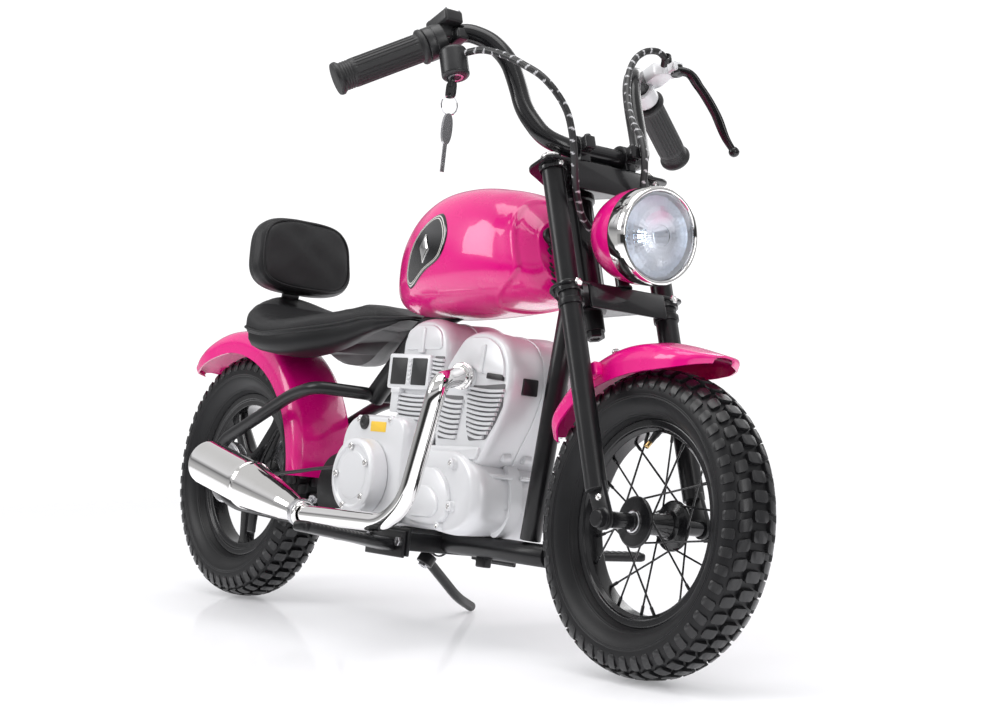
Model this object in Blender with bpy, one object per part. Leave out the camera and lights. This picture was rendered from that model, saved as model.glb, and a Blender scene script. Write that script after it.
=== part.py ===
"""A child's electric motorcycle in the chopper style, leaning on its kickstand.

Metres, +Z up. The bike is modelled upright in its own axes: +X forward, +Y to the
rider's left, the rear axle above x = 0 and the tyres on z = 0. One empty then leans
the whole bike over on its stand and brings the middle of its footprint to the origin.
"""

import math

import bmesh
import bpy
from mathutils import Matrix, Vector

# Driving dimensions
WHEEL_RADIUS = 0.170
WHEELBASE = 0.870
LEAN = math.radians(9.0)
CLEARANCE = 0.0004
RUNNING_CLEARANCE = 0.0008

# Steering and fork
RAKE = math.radians(21.6)
FORK_LENGTH = 0.2766
FORK_AHEAD = 0.047
AXLE_LEAD = 0.006
CLAMP_SPACING = 0.152
FORK_HALF_WIDTH = 0.0708
LEG_RADIUS = 0.0127
CLAMP_THICKNESS = 0.004
STEM_RADIUS = 0.0127
HEAD_TUBE_RADIUS = 0.019

# Wheels
TYRE_HALF_WIDTH = 0.034
RIM_RADIUS = 0.114
RIM_HALF_WIDTH = 0.015
RIM_BORE = 0.1005
HUB_FLANGE_RADIUS = 0.0285
HUB_HALF_WIDTH = 0.0275
AXLE_RADIUS = 0.005
SPOKE_COUNT = 20
SPOKE_RADIUS = 0.0014
CAST_SPOKES = 5

# Handlebar
BAR_RADIUS = 0.0111
GRIP_RADIUS = 0.0172
GRIP_LENGTH = 0.112
GRIP_HALF_SPAN = 0.262
BAR_ABOVE_CLAMP = 0.021
BAR_CLAMP_HALF_SPACING = 0.034

# Frame
DOWN_TUBE_RADIUS = 0.0125
BOTTOM_TUBE_RADIUS = 0.0135
BOTTOM_TUBE_HEIGHT = 0.1175
SEAT_TUBE_RADIUS = 0.0135
STAY_RADIUS = 0.0085
STAY_HALF_WIDTH = 0.069
PEG_HALF_SPAN = 0.259

# Bodywork
TANK_HALF_WIDTH = 0.088
TANK_WALL = 0.003
FENDER_HALF_WIDTH = 0.047
FENDER_WALL = 0.0026
FENDER_GAP = 0.024
SEAT_HALF_WIDTH = 0.098
CASE_HALF_WIDTH = 0.074
CYLINDER_HALF_WIDTH = 0.052
ENGINE_WALL = 0.003
COVER_RADIUS = 0.0475
LAMP_RADIUS = 0.0560
EXHAUST_SIDE = 0.124
EXHAUST_RADIUS = 0.0115
MUFFLER_RADIUS = 0.0305

# Drive
CHAIN_SIDE = 0.0515
CHAIN_PITCH = 0.008
PINION_TEETH = 11
SPROCKET_TEETH = 44
MOTOR_RADIUS = 0.048
MOTOR_X = 0.272
MOTOR_Z = 0.166

ROUND = 14
WHEEL_SIDES = 24
ALONG_Y = (-math.pi / 2, 0.0, 0.0)

FRONT_AXLE = Vector((WHEELBASE, 0.0, WHEEL_RADIUS))
STEER_UP = Vector((-math.sin(RAKE), 0.0, math.cos(RAKE)))
STEER_AHEAD = Vector((math.cos(RAKE), 0.0, math.sin(RAKE)))
AXLE_AHEAD = FORK_AHEAD + AXLE_LEAD
LOWER_CLAMP = FRONT_AXLE - STEER_AHEAD * AXLE_AHEAD + STEER_UP * FORK_LENGTH
BAR_HEIGHT = CLAMP_SPACING + BAR_ABOVE_CLAMP


def clear_scene():
    for found in list(bpy.data.objects):
        bpy.data.objects.remove(found, do_unlink=True)


def material(name, colour, roughness, metallic=0.0):
    made = bpy.data.materials.new(name)
    made.use_nodes = True
    shader = made.node_tree.nodes["Principled BSDF"]
    shader.inputs["Base Color"].default_value = (*colour, 1.0)
    shader.inputs["Roughness"].default_value = roughness
    shader.inputs["Metallic"].default_value = metallic
    return made


def empty(name, parent=None, location=(0, 0, 0), rotation=(0, 0, 0)):
    made = bpy.data.objects.new(name, None)
    bpy.context.scene.collection.objects.link(made)
    made.parent = parent
    made.location = location
    made.rotation_euler = rotation
    return made


def solid(name, shape, finish, parent, location=(0, 0, 0), rotation=(0, 0, 0), smooth=35.0):
    """Turns a bmesh into an object whose faces point outwards."""
    bmesh.ops.remove_doubles(shape, verts=shape.verts, dist=1e-6)
    bmesh.ops.recalc_face_normals(shape, faces=shape.faces)
    mesh = bpy.data.meshes.new(name)
    shape.to_mesh(mesh)
    shape.free()
    mesh.shade_smooth()
    mesh.set_sharp_from_angle(angle=math.radians(smooth))
    mesh.materials.append(finish)
    made = bpy.data.objects.new(name, mesh)
    bpy.context.scene.collection.objects.link(made)
    made.parent = parent
    made.location = location
    made.rotation_euler = rotation
    return made


def tool(name, shape, target, operation, location=(0, 0, 0), rotation=(0, 0, 0), solver="EXACT"):
    """A hidden shape that is joined to the target or cut from it, placed in the target's parent."""
    made = solid(name, shape, target.data.materials[0], target.parent, location, rotation)
    made.hide_render = True
    made.display_type = "WIRE"
    boolean = target.modifiers.new(name, "BOOLEAN")
    boolean.operation = operation
    boolean.solver = solver
    boolean.object = made
    return made


def rings_to_solid(rings, closed=False):
    """Joins rings of points, in order, with a skin. An open run of rings gets a face at each end."""
    shape = bmesh.new()
    corners = [[shape.verts.new(point) for point in ring] for ring in rings]
    count = len(corners[0])
    pairs = list(zip(corners, corners[1:]))
    if closed:
        pairs.append((corners[-1], corners[0]))
    for first, second in pairs:
        for i in range(count):
            j = (i + 1) % count
            shape.faces.new((first[i], first[j], second[j], second[i]))
    if not closed:
        shape.faces.new(corners[0])
        shape.faces.new(corners[-1])
    return shape


def turned(profile, sides=ROUND):
    """A closed profile of (radius, height) points turned about Z. Points on the axis make a pole."""
    shape = bmesh.new()
    rows = []
    for radius, height in profile:
        if radius < 1e-7:
            rows.append([shape.verts.new((0, 0, height))] * sides)
            continue
        turns = (2 * math.pi * i / sides for i in range(sides))
        rows.append([shape.verts.new((radius * math.cos(a), radius * math.sin(a), height)) for a in turns])
    on_axis = profile[0][0] < 1e-7 and profile[-1][0] < 1e-7
    pairs = list(zip(rows, rows[1:]))
    if not on_axis:
        pairs.append((rows[-1], rows[0]))
    for first, second in pairs:
        for i in range(sides):
            j = (i + 1) % sides
            ring = [first[i], first[j], second[j], second[i]]
            face = [vertex for k, vertex in enumerate(ring) if vertex not in ring[:k]]
            if len(face) > 2:
                shape.faces.new(face)
    return shape


def disc(radius, low, high, sides=ROUND):
    return turned([(0, low), (radius, low), (radius, high), (0, high)], sides)


def block(size, centre=(0, 0, 0), turn=0.0):
    """A box of the given size, turned about Y at its own centre."""
    shape = bmesh.new()
    bmesh.ops.create_cube(shape, size=1.0)
    place = Matrix.Translation(centre) @ Matrix.Rotation(turn, 4, "Y") @ Matrix.Diagonal((*size, 1.0))
    bmesh.ops.transform(shape, matrix=place, verts=shape.verts)
    return shape


def soft_block(size, centre=(0, 0, 0), turn=0.0, edge=0.006, steps=2):
    """A box whose edges are rounded over in a few steps."""
    shape = block(size)
    bmesh.ops.bevel(shape, geom=shape.edges, offset=edge, segments=steps, profile=0.6, affect="EDGES")
    place = Matrix.Translation(centre) @ Matrix.Rotation(turn, 4, "Y")
    bmesh.ops.transform(shape, matrix=place, verts=shape.verts)
    return shape


def swept(points, radius, sides=10):
    """A round bar along a path, with flat ends. The radius may be one value or one for each point."""
    points = [Vector(point) for point in points]
    radii = radius if isinstance(radius, (list, tuple)) else [radius] * len(points)
    side = None
    rings = []
    for i, point in enumerate(points):
        along = (points[min(i + 1, len(points) - 1)] - points[max(i - 1, 0)]).normalized()
        if side is None:
            side = along.orthogonal().normalized()
        side = (side - along * side.dot(along)).normalized()
        other = along.cross(side)
        turns = (2 * math.pi * k / sides for k in range(sides))
        rings.append([point + (side * math.cos(a) + other * math.sin(a)) * radii[i] for a in turns])
    return rings_to_solid(rings)


def bent_path(corners, bend, steps=3):
    """A path through the corners whose inner corners are rounded off over the bend length."""
    corners = [Vector(corner) for corner in corners]
    path = [corners[0]]
    for before, corner, after in zip(corners, corners[1:], corners[2:]):
        start = corner + (before - corner).normalized() * bend
        end = corner + (after - corner).normalized() * bend
        for i in range(steps + 1):
            t = i / steps
            path.append(start * (1 - t) ** 2 + corner * 2 * t * (1 - t) + end * t ** 2)
    return path + [corners[-1]]


def smooth_path(points, spacing):
    """Points about one spacing apart on a smooth curve through the route's own points."""
    points = [Vector(point) for point in points]
    ends = [points[0] * 2 - points[1]] + points + [points[-1] * 2 - points[-2]]
    path = [points[0]]
    for a, b, c, d in zip(ends, ends[1:], ends[2:], ends[3:]):
        steps = max(1, round((c - b).length / spacing))
        for i in range(1, steps + 1):
            t = i / steps
            bow = (a * 2 - b * 5 + c * 4 - d) * t ** 2 + (b * 3 - a - c * 3 + d) * t ** 3
            path.append((b * 2 + (c - a) * t + bow) / 2)
    return path


def rod(start, end, radius, sides=10):
    return swept([start, end], radius, sides)


def plate(outline, thickness, low=0.0):
    """A flat outline of (x, y) points, thick along Z from the low face up."""
    return rings_to_solid([[(x, y, z) for x, y in outline] for z in (low, low + thickness)])


def rounded_outline(corners, radius, steps=3):
    """The closed outline through the corners with each corner rounded off."""
    outline = []
    for i, corner in enumerate(corners):
        here = Vector(corner)
        before = Vector(corners[i - 1]) - here
        after = Vector(corners[(i + 1) % len(corners)]) - here
        start = here + before.normalized() * radius
        end = here + after.normalized() * radius
        for k in range(steps + 1):
            t = k / steps
            point = start * (1 - t) ** 2 + here * 2 * t * (1 - t) + end * t ** 2
            outline.append((point.x, point.y))
    return outline


def oval(half_width, half_height, power, count):
    """Points of a rounded oval, from +X round through +Y. A higher power is squarer."""
    outline = []
    for i in range(count):
        turn = 2 * math.pi * i / count
        c, s = math.cos(turn), math.sin(turn)
        x = half_width * math.copysign(abs(c) ** (2 / power), c)
        y = half_height * math.copysign(abs(s) ** (2 / power), s)
        outline.append((x, y))
    return outline


# Points on the bars, the lamp and the cables were measured with the lower clamp here, at this rake.
MEASURED_CLAMP = Vector((0.7189, 0.0, 0.4077))
MEASURED_RAKE = math.radians(21.6)


def to_steering(point):
    """A measured point in the bike's axes, given in the axes of the steering."""
    offset = Vector(point) - MEASURED_CLAMP
    offset.rotate(Matrix.Rotation(MEASURED_RAKE, 3, "Y"))
    return offset


def cord(name, points, radius, finish, parent):
    """A cable as a curve with a round section and filled ends."""
    curve = bpy.data.curves.new(name, "CURVE")
    curve.dimensions = "3D"
    curve.bevel_depth = radius
    curve.bevel_resolution = 1
    curve.use_fill_caps = True
    curve.render_resolution_u = 0
    route = smooth_path(points, radius * 5.0)
    line = curve.splines.new("POLY")
    line.points.add(len(route) - 1)
    for spot, point in zip(line.points, route):
        spot.co = (*point, 1.0)
    curve.materials.append(finish)
    made = bpy.data.objects.new(name, curve)
    bpy.context.scene.collection.objects.link(made)
    made.parent = parent
    return made


def make_finishes():
    return {
        "black": material("black_frame_paint", (0.02, 0.02, 0.022), 0.35, 0.3),
        "pink": material("pink_gloss", (0.85, 0.01, 0.36), 0.15),
        "silver": material("silver_plastic", (0.62, 0.63, 0.65), 0.45),
        "chrome": material("chrome", (0.8, 0.8, 0.82), 0.08, 1.0),
        "rubber": material("tyre_rubber", (0.03, 0.03, 0.032), 0.7),
        "grip": material("grip_rubber", (0.025, 0.025, 0.027), 0.6),
        "vinyl": material("seat_vinyl", (0.035, 0.035, 0.037), 0.5),
        "plastic": material("black_plastic", (0.03, 0.03, 0.032), 0.5),
        "steel": material("zinc_steel", (0.5, 0.5, 0.52), 0.35, 1.0),
        "clear": material("clear_lens", (0.85, 0.88, 0.9), 0.05),
        "cell": material("battery_case", (0.1, 0.1, 0.12), 0.5),
    }


# Frame


def head_tube(bike, finish):
    """The steering tube of the frame, with a wider cup for the bearing at each end."""
    low, high = 0.006, CLAMP_SPACING - CLAMP_THICKNESS - 0.006
    bore = STEM_RADIUS + 0.0012
    cup = HEAD_TUBE_RADIUS + 0.003
    profile = [
        (bore, low),
        (cup, low),
        (cup, low + 0.010),
        (HEAD_TUBE_RADIUS, low + 0.013),
        (HEAD_TUBE_RADIUS, high - 0.013),
        (cup, high - 0.010),
        (cup, high),
        (bore, high),
    ]
    return solid("head_tube", turned(profile), finish, bike, LOWER_CLAMP, (0, -RAKE, 0))


def behind_head_tube(height):
    """A point on the steering axis, moved back so that a tube's end clears the head tube."""
    return LOWER_CLAMP + STEER_UP * height - STEER_AHEAD * (HEAD_TUBE_RADIUS + CLEARANCE)


BACKBONE_START_HEIGHT = 0.090
BACKBONE_BEND = Vector((0.470, 0.0, 0.4095))
SEAT_TUBE_BEND = Vector((0.387, 0.0, 0.3865))
SEAT_TUBE_FOOT = Vector((0.285, 0.0, 0.289))


def backbone_path():
    start = behind_head_tube(BACKBONE_START_HEIGHT) - STEER_AHEAD * 0.0008
    return bent_path([start, BACKBONE_BEND, SEAT_TUBE_BEND, SEAT_TUBE_FOOT], 0.035)


def head_tube_room():
    """The room that a frame tube's end leaves for the head tube."""
    return disc(HEAD_TUBE_RADIUS + CLEARANCE, -CLAMP_SPACING, 2 * CLAMP_SPACING, 24)


def backbone_tube(bike, finish):
    """Runs from the head tube under the fuel tank, then bends down under the seat nose."""
    made = solid("backbone_tube", swept(backbone_path(), SEAT_TUBE_RADIUS), finish, bike)
    tool("backbone_room", head_tube_room(), made, "DIFFERENCE", LOWER_CLAMP, (0, -RAKE, 0))
    return made


def down_tube(bike, finish):
    start = behind_head_tube(0.020) - Vector((DOWN_TUBE_RADIUS + 0.0005, 0, 0))
    end = (0.652, 0, BOTTOM_TUBE_HEIGHT + BOTTOM_TUBE_RADIUS + CLEARANCE + DOWN_TUBE_RADIUS * 0.13)
    made = solid("down_tube", rod(start, end, DOWN_TUBE_RADIUS, 16), finish, bike)
    tool("down_tube_room", head_tube_room(), made, "DIFFERENCE", LOWER_CLAMP, (0, -RAKE, 0))
    tool("down_tube_foot", bottom_tube_room(), made, "DIFFERENCE")
    return made


def bottom_tube_room():
    """The room that another piece leaves for the bottom tube, from the tube's rear end past its front."""
    rear = (BOTTOM_TUBE_REAR, 0, BOTTOM_TUBE_HEIGHT)
    front = (BOTTOM_TUBE_FRONT + DOWN_TUBE_RADIUS, 0, BOTTOM_TUBE_HEIGHT)
    return rod(rear, front, BOTTOM_TUBE_RADIUS + CLEARANCE / 2, 16)


BOTTOM_TUBE_REAR = 0.395
BOTTOM_TUBE_FRONT = 0.692
STAND_PIVOT = Vector((0.400, 0.032, 0.090))
STAND_FOOT = Vector((0.335, 0.158, 0.0))
STAND_FOLDED = Vector((-0.97, 0.22, -0.02))
STAND_EYE_RADIUS = 0.011
STAND_EYE_THICKNESS = 0.0138


def floor_height(y):
    """How high the floor comes beside the upright bike, once the bike leans over."""
    return y * math.tan(LEAN)


def stand_foot():
    return Vector((STAND_FOOT.x, STAND_FOOT.y, floor_height(STAND_FOOT.y) + 0.0042))


def stand_axis():
    """The stand's hinge line, square to the leg both deployed and folded back."""
    return (stand_foot() - STAND_PIVOT).cross(STAND_FOLDED).normalized()


def bottom_tube(bike, finish):
    """The tube under the motor housing, with a small tab for the cable clip below it."""
    ends = [(BOTTOM_TUBE_REAR, 0, BOTTOM_TUBE_HEIGHT), (BOTTOM_TUBE_FRONT, 0, BOTTOM_TUBE_HEIGHT)]
    made = solid("bottom_tube", rod(*ends, BOTTOM_TUBE_RADIUS, 16), finish, bike)
    tab = block((0.018, 0.012, 0.014), (0.565, 0, BOTTOM_TUBE_HEIGHT - BOTTOM_TUBE_RADIUS - 0.004))
    tool("bottom_tab", tab, made, "UNION")
    axis = stand_axis()
    low = STAND_EYE_THICKNESS / 2 + CLEARANCE
    ear = disc(STAND_EYE_RADIUS + 0.002, low, low + 0.007, 20)
    tool("stand_ear", ear, made, "UNION", STAND_PIVOT, axis.to_track_quat("Z", "Y").to_euler())
    link = [STAND_PIVOT + axis * (low + 0.0055), (STAND_PIVOT.x + 0.006, 0.004, BOTTOM_TUBE_HEIGHT - 0.002)]
    tool("stand_link", rod(*link, 0.0048, 8), made, "UNION")
    return made


def rear_upper_stay(name, side, bike, finish):
    """A bent tube from the foot of the seat tube over the chain line to the rear axle plate."""
    foot = SEAT_TUBE_FOOT
    inner = SEAT_TUBE_RADIUS * 0.96 + CLEARANCE + STAY_RADIUS * 0.70
    corners = [
        (foot.x + 0.008, side * inner, foot.z + 0.004),
        (foot.x - 0.038, side * STAY_HALF_WIDTH, foot.z + 0.006),
        (0.190, side * STAY_HALF_WIDTH, 0.282),
        (0.030, side * STAY_HALF_WIDTH, 0.216),
        (0.012, side * STAY_HALF_WIDTH, WHEEL_RADIUS + 0.0270),
    ]
    return solid(name, swept(bent_path(corners, 0.020), STAY_RADIUS), finish, bike)


DROPOUT_THICKNESS = 0.005


def rear_lower_stay(name, side, bike, finish):
    """A tube from the footrest bracket back to the flat plate that carries the rear axle."""
    y = side * STAY_HALF_WIDTH
    corners = [
        (BRACKET_X - BRACKET_TUBE / 2 - CLEARANCE, y, BRACKET_Z),
        (0.070, y, 0.129),
        (0.014, y, WHEEL_RADIUS - 0.018),
    ]
    made = solid(name, swept(bent_path(corners, 0.030), STAY_RADIUS), finish, bike)
    outline = rounded_outline([(-0.019, -0.020), (0.030, -0.026), (0.022, 0.021), (-0.019, 0.021)], 0.010)
    upright = (math.pi / 2, 0, 0)
    place = (0, y + DROPOUT_THICKNESS / 2, WHEEL_RADIUS)
    tool(name + "_plate", plate(outline, DROPOUT_THICKNESS), made, "UNION", place, upright)
    tab = block((0.016, DROPOUT_THICKNESS, 0.032), (0.128, y, 0.110))
    tool(name + "_tab", tab, made, "UNION")
    bore = disc(AXLE_RADIUS + CLEARANCE, -0.02, 0.02, 16)
    tool(name + "_bore", bore, made, "DIFFERENCE", (0, y, WHEEL_RADIUS), ALONG_Y)
    return made


BRACKET_X = 0.476
BRACKET_LENGTH = 0.088
BRACKET_TUBE = 0.030
BRACKET_HALF_WIDTH = 0.082
BRACKET_Z = 0.113
BRACKET_THICKNESS = 0.004
BRACKET_HEIGHT = 0.034


def footrest_bracket(bike, finish):
    """A cross tube with an upright plate at each end, round the bottom tube."""
    half = BRACKET_HALF_WIDTH
    made = solid("footrest_bracket", block((BRACKET_TUBE, 2 * half, 0.022), (BRACKET_X, 0, BRACKET_Z)), finish, bike)
    for side in (-1, 1):
        y = side * (half - BRACKET_THICKNESS / 2)
        end = block((BRACKET_LENGTH, BRACKET_THICKNESS, BRACKET_HEIGHT), (BRACKET_X, y, BRACKET_Z))
        tool(f"bracket_end_{side}", end, made, "UNION")
    ends = [(BRACKET_X - 0.08, 0, BOTTOM_TUBE_HEIGHT), (BRACKET_X + 0.08, 0, BOTTOM_TUBE_HEIGHT)]
    clearing = rod(*ends, BOTTOM_TUBE_RADIUS + CLEARANCE * 2, 16)
    tool("bracket_saddle", clearing, made, "DIFFERENCE")
    return made


def footrest(name, side, bike, finish):
    """A pressed bar, bolted flat on its bracket, that sweeps outwards and a little forwards."""
    y = side * (BRACKET_HALF_WIDTH + CLEARANCE)
    thickness = 0.004
    root = rounded_outline([(-0.041, -0.016), (0.041, -0.016), (0.041, 0.016), (-0.041, 0.016)], 0.008)
    made = solid(name, plate(root, thickness), finish, bike,
                 (BRACKET_X, y + (thickness if side > 0 else 0), BRACKET_Z), (math.pi / 2, 0, 0))
    start = Vector((BRACKET_X + 0.004, y + side * 0.001, BRACKET_Z - 0.0050))
    end = Vector((BRACKET_X + 0.080, side * PEG_HALF_SPAN, BRACKET_Z + 0.0100))
    rings = []
    for share, half_depth, half_rise in ((0, 0.020, 0.0085), (0.35, 0.014, 0.0070), (1, 0.011, 0.0065)):
        centre = start.lerp(end, share)
        corners = ((-1, -1), (1, -1), (1, 1), (-1, 1))
        rings.append([centre + Vector((half_depth * a, 0, half_rise * b)) for a, b in corners])
    tool(name + "_bar", rings_to_solid(rings), made, "UNION")
    return made


# Seat


SEAT_REAR = 0.046
SEAT_NOSE = 0.374


def seat_line(share):
    """Half width, lower height and upper height of the cushion, at a share of its length."""
    width = SEAT_HALF_WIDTH * (0.36 + 0.64 / (1 + math.exp((share - 0.56) * 11)))
    width *= min(1.0, (share / 0.16 + 0.02) ** 0.5) * min(1.0, ((1 - share) / 0.16 + 0.02) ** 0.5)
    top = 0.380 + 0.054 * max(0.0, 1 - share / 0.33) ** 1.6 + 0.030 * min(1.0, max(0.0, share - 0.25) / 0.5) ** 1.3
    low = 0.352 - 0.010 * math.sin(math.pi * min(1.0, share * 1.3)) + 0.036 * share ** 1.4
    low += 0.030 * max(0.0, 1 - share / 0.18) ** 2 + 0.006 * max(0.0, share * 10 - 9) ** 2
    top -= 0.014 * max(0.0, share * 4 - 3) ** 2
    return width, low, top


def seat_cushion(bike, finish):
    """The saddle: a wide dished rear with a raised lip, drawn in to a narrow nose, with a crowned top."""
    rings = []
    steps = 15
    for i in range(steps + 1):
        share = 0.5 - 0.5 * math.cos(math.pi * i / steps)
        width, low, top = seat_line(share)
        x = SEAT_REAR + (SEAT_NOSE - SEAT_REAR) * share
        middle = (low + top) / 2
        half = (top - low) / 2
        closing = min(1.0, 0.45 + 4.5 * min(share, 1 - share))
        ring = []
        for across, up in oval(width, half * closing, 3.0, 18):
            dish = 0.010 * (across / width) ** 2 * max(0.0, up / half) * (1 - share)
            ring.append((x, across, middle + up + dish))
        rings.append(ring)
    made = solid("seat_cushion", rings_to_solid(rings), finish, bike, smooth=60)
    tool("seat_tunnel", seat_tunnel(), made, "DIFFERENCE", (0, 0, WHEEL_RADIUS), ALONG_Y)
    return made


def seat_tunnel():
    """The room under the seat for the fender and the backrest's post."""
    half = FENDER_HALF_WIDTH + 0.003
    return disc(WHEEL_RADIUS + FENDER_GAP + 0.0165, -half, half, 48)


SEAT_PAN_DROP = 0.0045
SEAT_PAN_REAR_DROP = 0.004


def seat_pan(bike, finish):
    """The stiff pan under the cushion, which follows its underside a little inside its edge."""
    rings = []
    for i in range(10):
        share = 0.10 + 0.80 * i / 9
        width, low, _ = seat_line(share)
        x = SEAT_REAR + (SEAT_NOSE - SEAT_REAR) * share
        level = low - 0.0008 - SEAT_PAN_REAR_DROP * max(0.0, 1 - share / 0.25)
        half = width * 0.80
        ring = [(x, -half, level), (x, half, level), (x, half * 0.9, level - SEAT_PAN_DROP)]
        rings.append(ring + [(x, -half * 0.9, level - SEAT_PAN_DROP)])
    made = solid("seat_pan", rings_to_solid(rings), finish, bike)
    post = block((0.050, 0.036, 0.026), (0.325, 0, 0.362), 0.0)
    tool("seat_pan_post", post, made, "UNION")
    clearing = swept(bent_path([BACKBONE_BEND, SEAT_TUBE_BEND, SEAT_TUBE_FOOT], 0.035), SEAT_TUBE_RADIUS + CLEARANCE * 2)
    tool("seat_pan_saddle", clearing, made, "DIFFERENCE")
    tool("seat_pan_tunnel", seat_tunnel(), made, "DIFFERENCE", (0, 0, WHEEL_RADIUS), ALONG_Y)
    return made


BACKREST_X = 0.060
BACKREST_Z = 0.479
BACKREST_TILT = math.radians(-9.0)
BACKREST_HALF_WIDTH = 0.0765
BACKREST_HALF_HEIGHT = 0.0525
BACKREST_THICKNESS = 0.038


def backrest_pad(bike, finish):
    """A rounded pad with a crowned face, sides drawn in and a flat back."""
    rings = []
    profile = ((-0.50, 0.86), (-0.42, 0.94), (-0.15, 1.0), (0.15, 0.985), (0.36, 0.90), (0.46, 0.74), (0.50, 0.45))
    for depth, size in profile:
        ring = []
        for across, up in oval(BACKREST_HALF_WIDTH * size, BACKREST_HALF_HEIGHT * size, 3.4, 24):
            taper = 1 - 0.05 * up / BACKREST_HALF_HEIGHT
            ring.append((depth * BACKREST_THICKNESS, across * taper, up))
        rings.append(ring)
    return solid("backrest_pad", rings_to_solid(rings), finish, bike,
                 (BACKREST_X, 0, BACKREST_Z), (0, BACKREST_TILT, 0), smooth=60)


def backrest_post(bike, finish):
    """A flat strip bolted behind the pad, which runs down behind the seat to the pan."""
    thickness = 0.004
    half = 0.013
    behind = BACKREST_THICKNESS / 2 + CLEARANCE + thickness / 2
    corners = []
    for height in (0.020, -0.036):
        c, sn = math.cos(BACKREST_TILT), math.sin(BACKREST_TILT)
        corners.append((BACKREST_X - behind * c + height * sn, BACKREST_Z + behind * sn + height * c))
    corners += [(SEAT_REAR - 0.0045, 0.424), (SEAT_REAR - 0.0055, 0.388)]
    for angle, rise in ((78.0, 0.0132), (70.0, 0.0117), (61.0, 0.0096)):
        reach = WHEEL_RADIUS + FENDER_GAP + rise
        corners.append((reach * math.cos(math.radians(angle)), WHEEL_RADIUS + reach * math.sin(math.radians(angle))))
    rings = []
    for i, (x, z) in enumerate(corners):
        before = Vector(corners[max(i - 1, 0)])
        after = Vector(corners[min(i + 1, len(corners) - 1)])
        along = (after - before).normalized()
        out = Vector((-along.y, along.x)) * thickness / 2
        rings.append([
            (x + out.x, -half, z + out.y),
            (x + out.x, half, z + out.y),
            (x - out.x, half, z - out.y),
            (x - out.x, -half, z - out.y),
        ])
    return solid("backrest_post", rings_to_solid(rings), finish, bike)


# Bodywork


TANK_REAR = 0.364
TANK_STATIONS = (
    (0.00, 0.22, 0.412, 0.446),
    (0.03, 0.40, 0.402, 0.468),
    (0.10, 0.62, 0.396, 0.498),
    (0.22, 0.84, 0.394, 0.526),
    (0.38, 0.98, 0.396, 0.547),
    (0.55, 1.00, 0.400, 0.554),
    (0.72, 0.95, 0.406, 0.552),
    (0.86, 0.84, 0.412, 0.545),
    (0.95, 0.70, 0.420, 0.532),
    (1.00, 0.54, 0.432, 0.514),
)


def tank_front(z):
    """Where the tank ends at a height: a slope parallel to the head tube, just behind its cups."""
    axis = LOWER_CLAMP.x - math.tan(RAKE) * (z - LOWER_CLAMP.z)
    return axis - (HEAD_TUBE_RADIUS + 0.003) / math.cos(RAKE) - 0.005


def tank_shell(bike, finish):
    """The fuel tank shell, a rounded drop on its side, hollow and open below over the backbone."""
    count = 20
    slot = 2
    shape = bmesh.new()
    rows = []
    for share, width, low, top in TANK_STATIONS:
        middle = low + (top - low) * 0.42
        row = []
        for across, up in oval(1.0, 1.0, 2.5, count):
            z = middle + up * ((top - middle) if up > 0 else (middle - low))
            x = TANK_REAR + (tank_front(z) - TANK_REAR) * share
            row.append(shape.verts.new((x, across * width * TANK_HALF_WIDTH, z)))
        rows.append(row)
    bottom = 3 * count // 4
    for first, second in zip(rows, rows[1:]):
        for i in range(count):
            if bottom - slot <= i < bottom + slot:
                continue
            j = (i + 1) % count
            shape.faces.new((first[i], first[j], second[j], second[i]))
    open_run = [i % count for i in range(bottom + slot, bottom - slot + 1 + count)]
    for row in (rows[0], rows[-1]):
        shape.faces.new([row[i] for i in open_run])
    bmesh.ops.recalc_face_normals(shape, faces=shape.faces)
    mesh = bpy.data.meshes.new("tank_shell")
    shape.to_mesh(mesh)
    shape.free()
    mesh.shade_smooth()
    mesh.materials.append(finish)
    made = bpy.data.objects.new("tank_shell", mesh)
    bpy.context.scene.collection.objects.link(made)
    made.parent = bike
    wall = made.modifiers.new("wall", "SOLIDIFY")
    wall.thickness = TANK_WALL
    wall.offset = -1
    clearing = swept(backbone_path(), SEAT_TUBE_RADIUS + CLEARANCE)
    tool("tank_hole", clearing, made, "DIFFERENCE")
    return made


def fender(name, centre, stations, finish, parent, rotation=(0, 0, 0)):
    """An arched sheet over a wheel. Each station gives an angle from straight ahead, a radius,
    a share of the half width and how far its side skirts come down."""
    shape = bmesh.new()
    rows = []
    shares = (-1.0, -1.0, -0.86, -0.5, 0.0, 0.5, 0.86, 1.0, 1.0)
    drops = (1.0, 0.45, 0.10, 0.0, -0.10, 0.0, 0.10, 0.45, 1.0)
    for angle, radius, width, skirt in stations:
        turn = math.radians(angle)
        out = Vector((math.cos(turn), 0, math.sin(turn)))
        row = []
        for share, drop in zip(shares, drops):
            point = centre + out * (radius - skirt * drop)
            row.append(shape.verts.new((point.x, share * FENDER_HALF_WIDTH * width, point.z)))
        rows.append(row)
    for first, second in zip(rows, rows[1:]):
        for i in range(len(shares) - 1):
            shape.faces.new((first[i], first[i + 1], second[i + 1], second[i]))
    mesh = bpy.data.meshes.new(name)
    shape.to_mesh(mesh)
    shape.free()
    mesh.shade_smooth()
    mesh.materials.append(finish)
    made = bpy.data.objects.new(name, mesh)
    bpy.context.scene.collection.objects.link(made)
    made.parent = parent
    made.rotation_euler = rotation
    wall = made.modifiers.new("wall", "SOLIDIFY")
    wall.thickness = FENDER_WALL
    wall.offset = 0
    wall.use_even_offset = True
    return made


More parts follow.
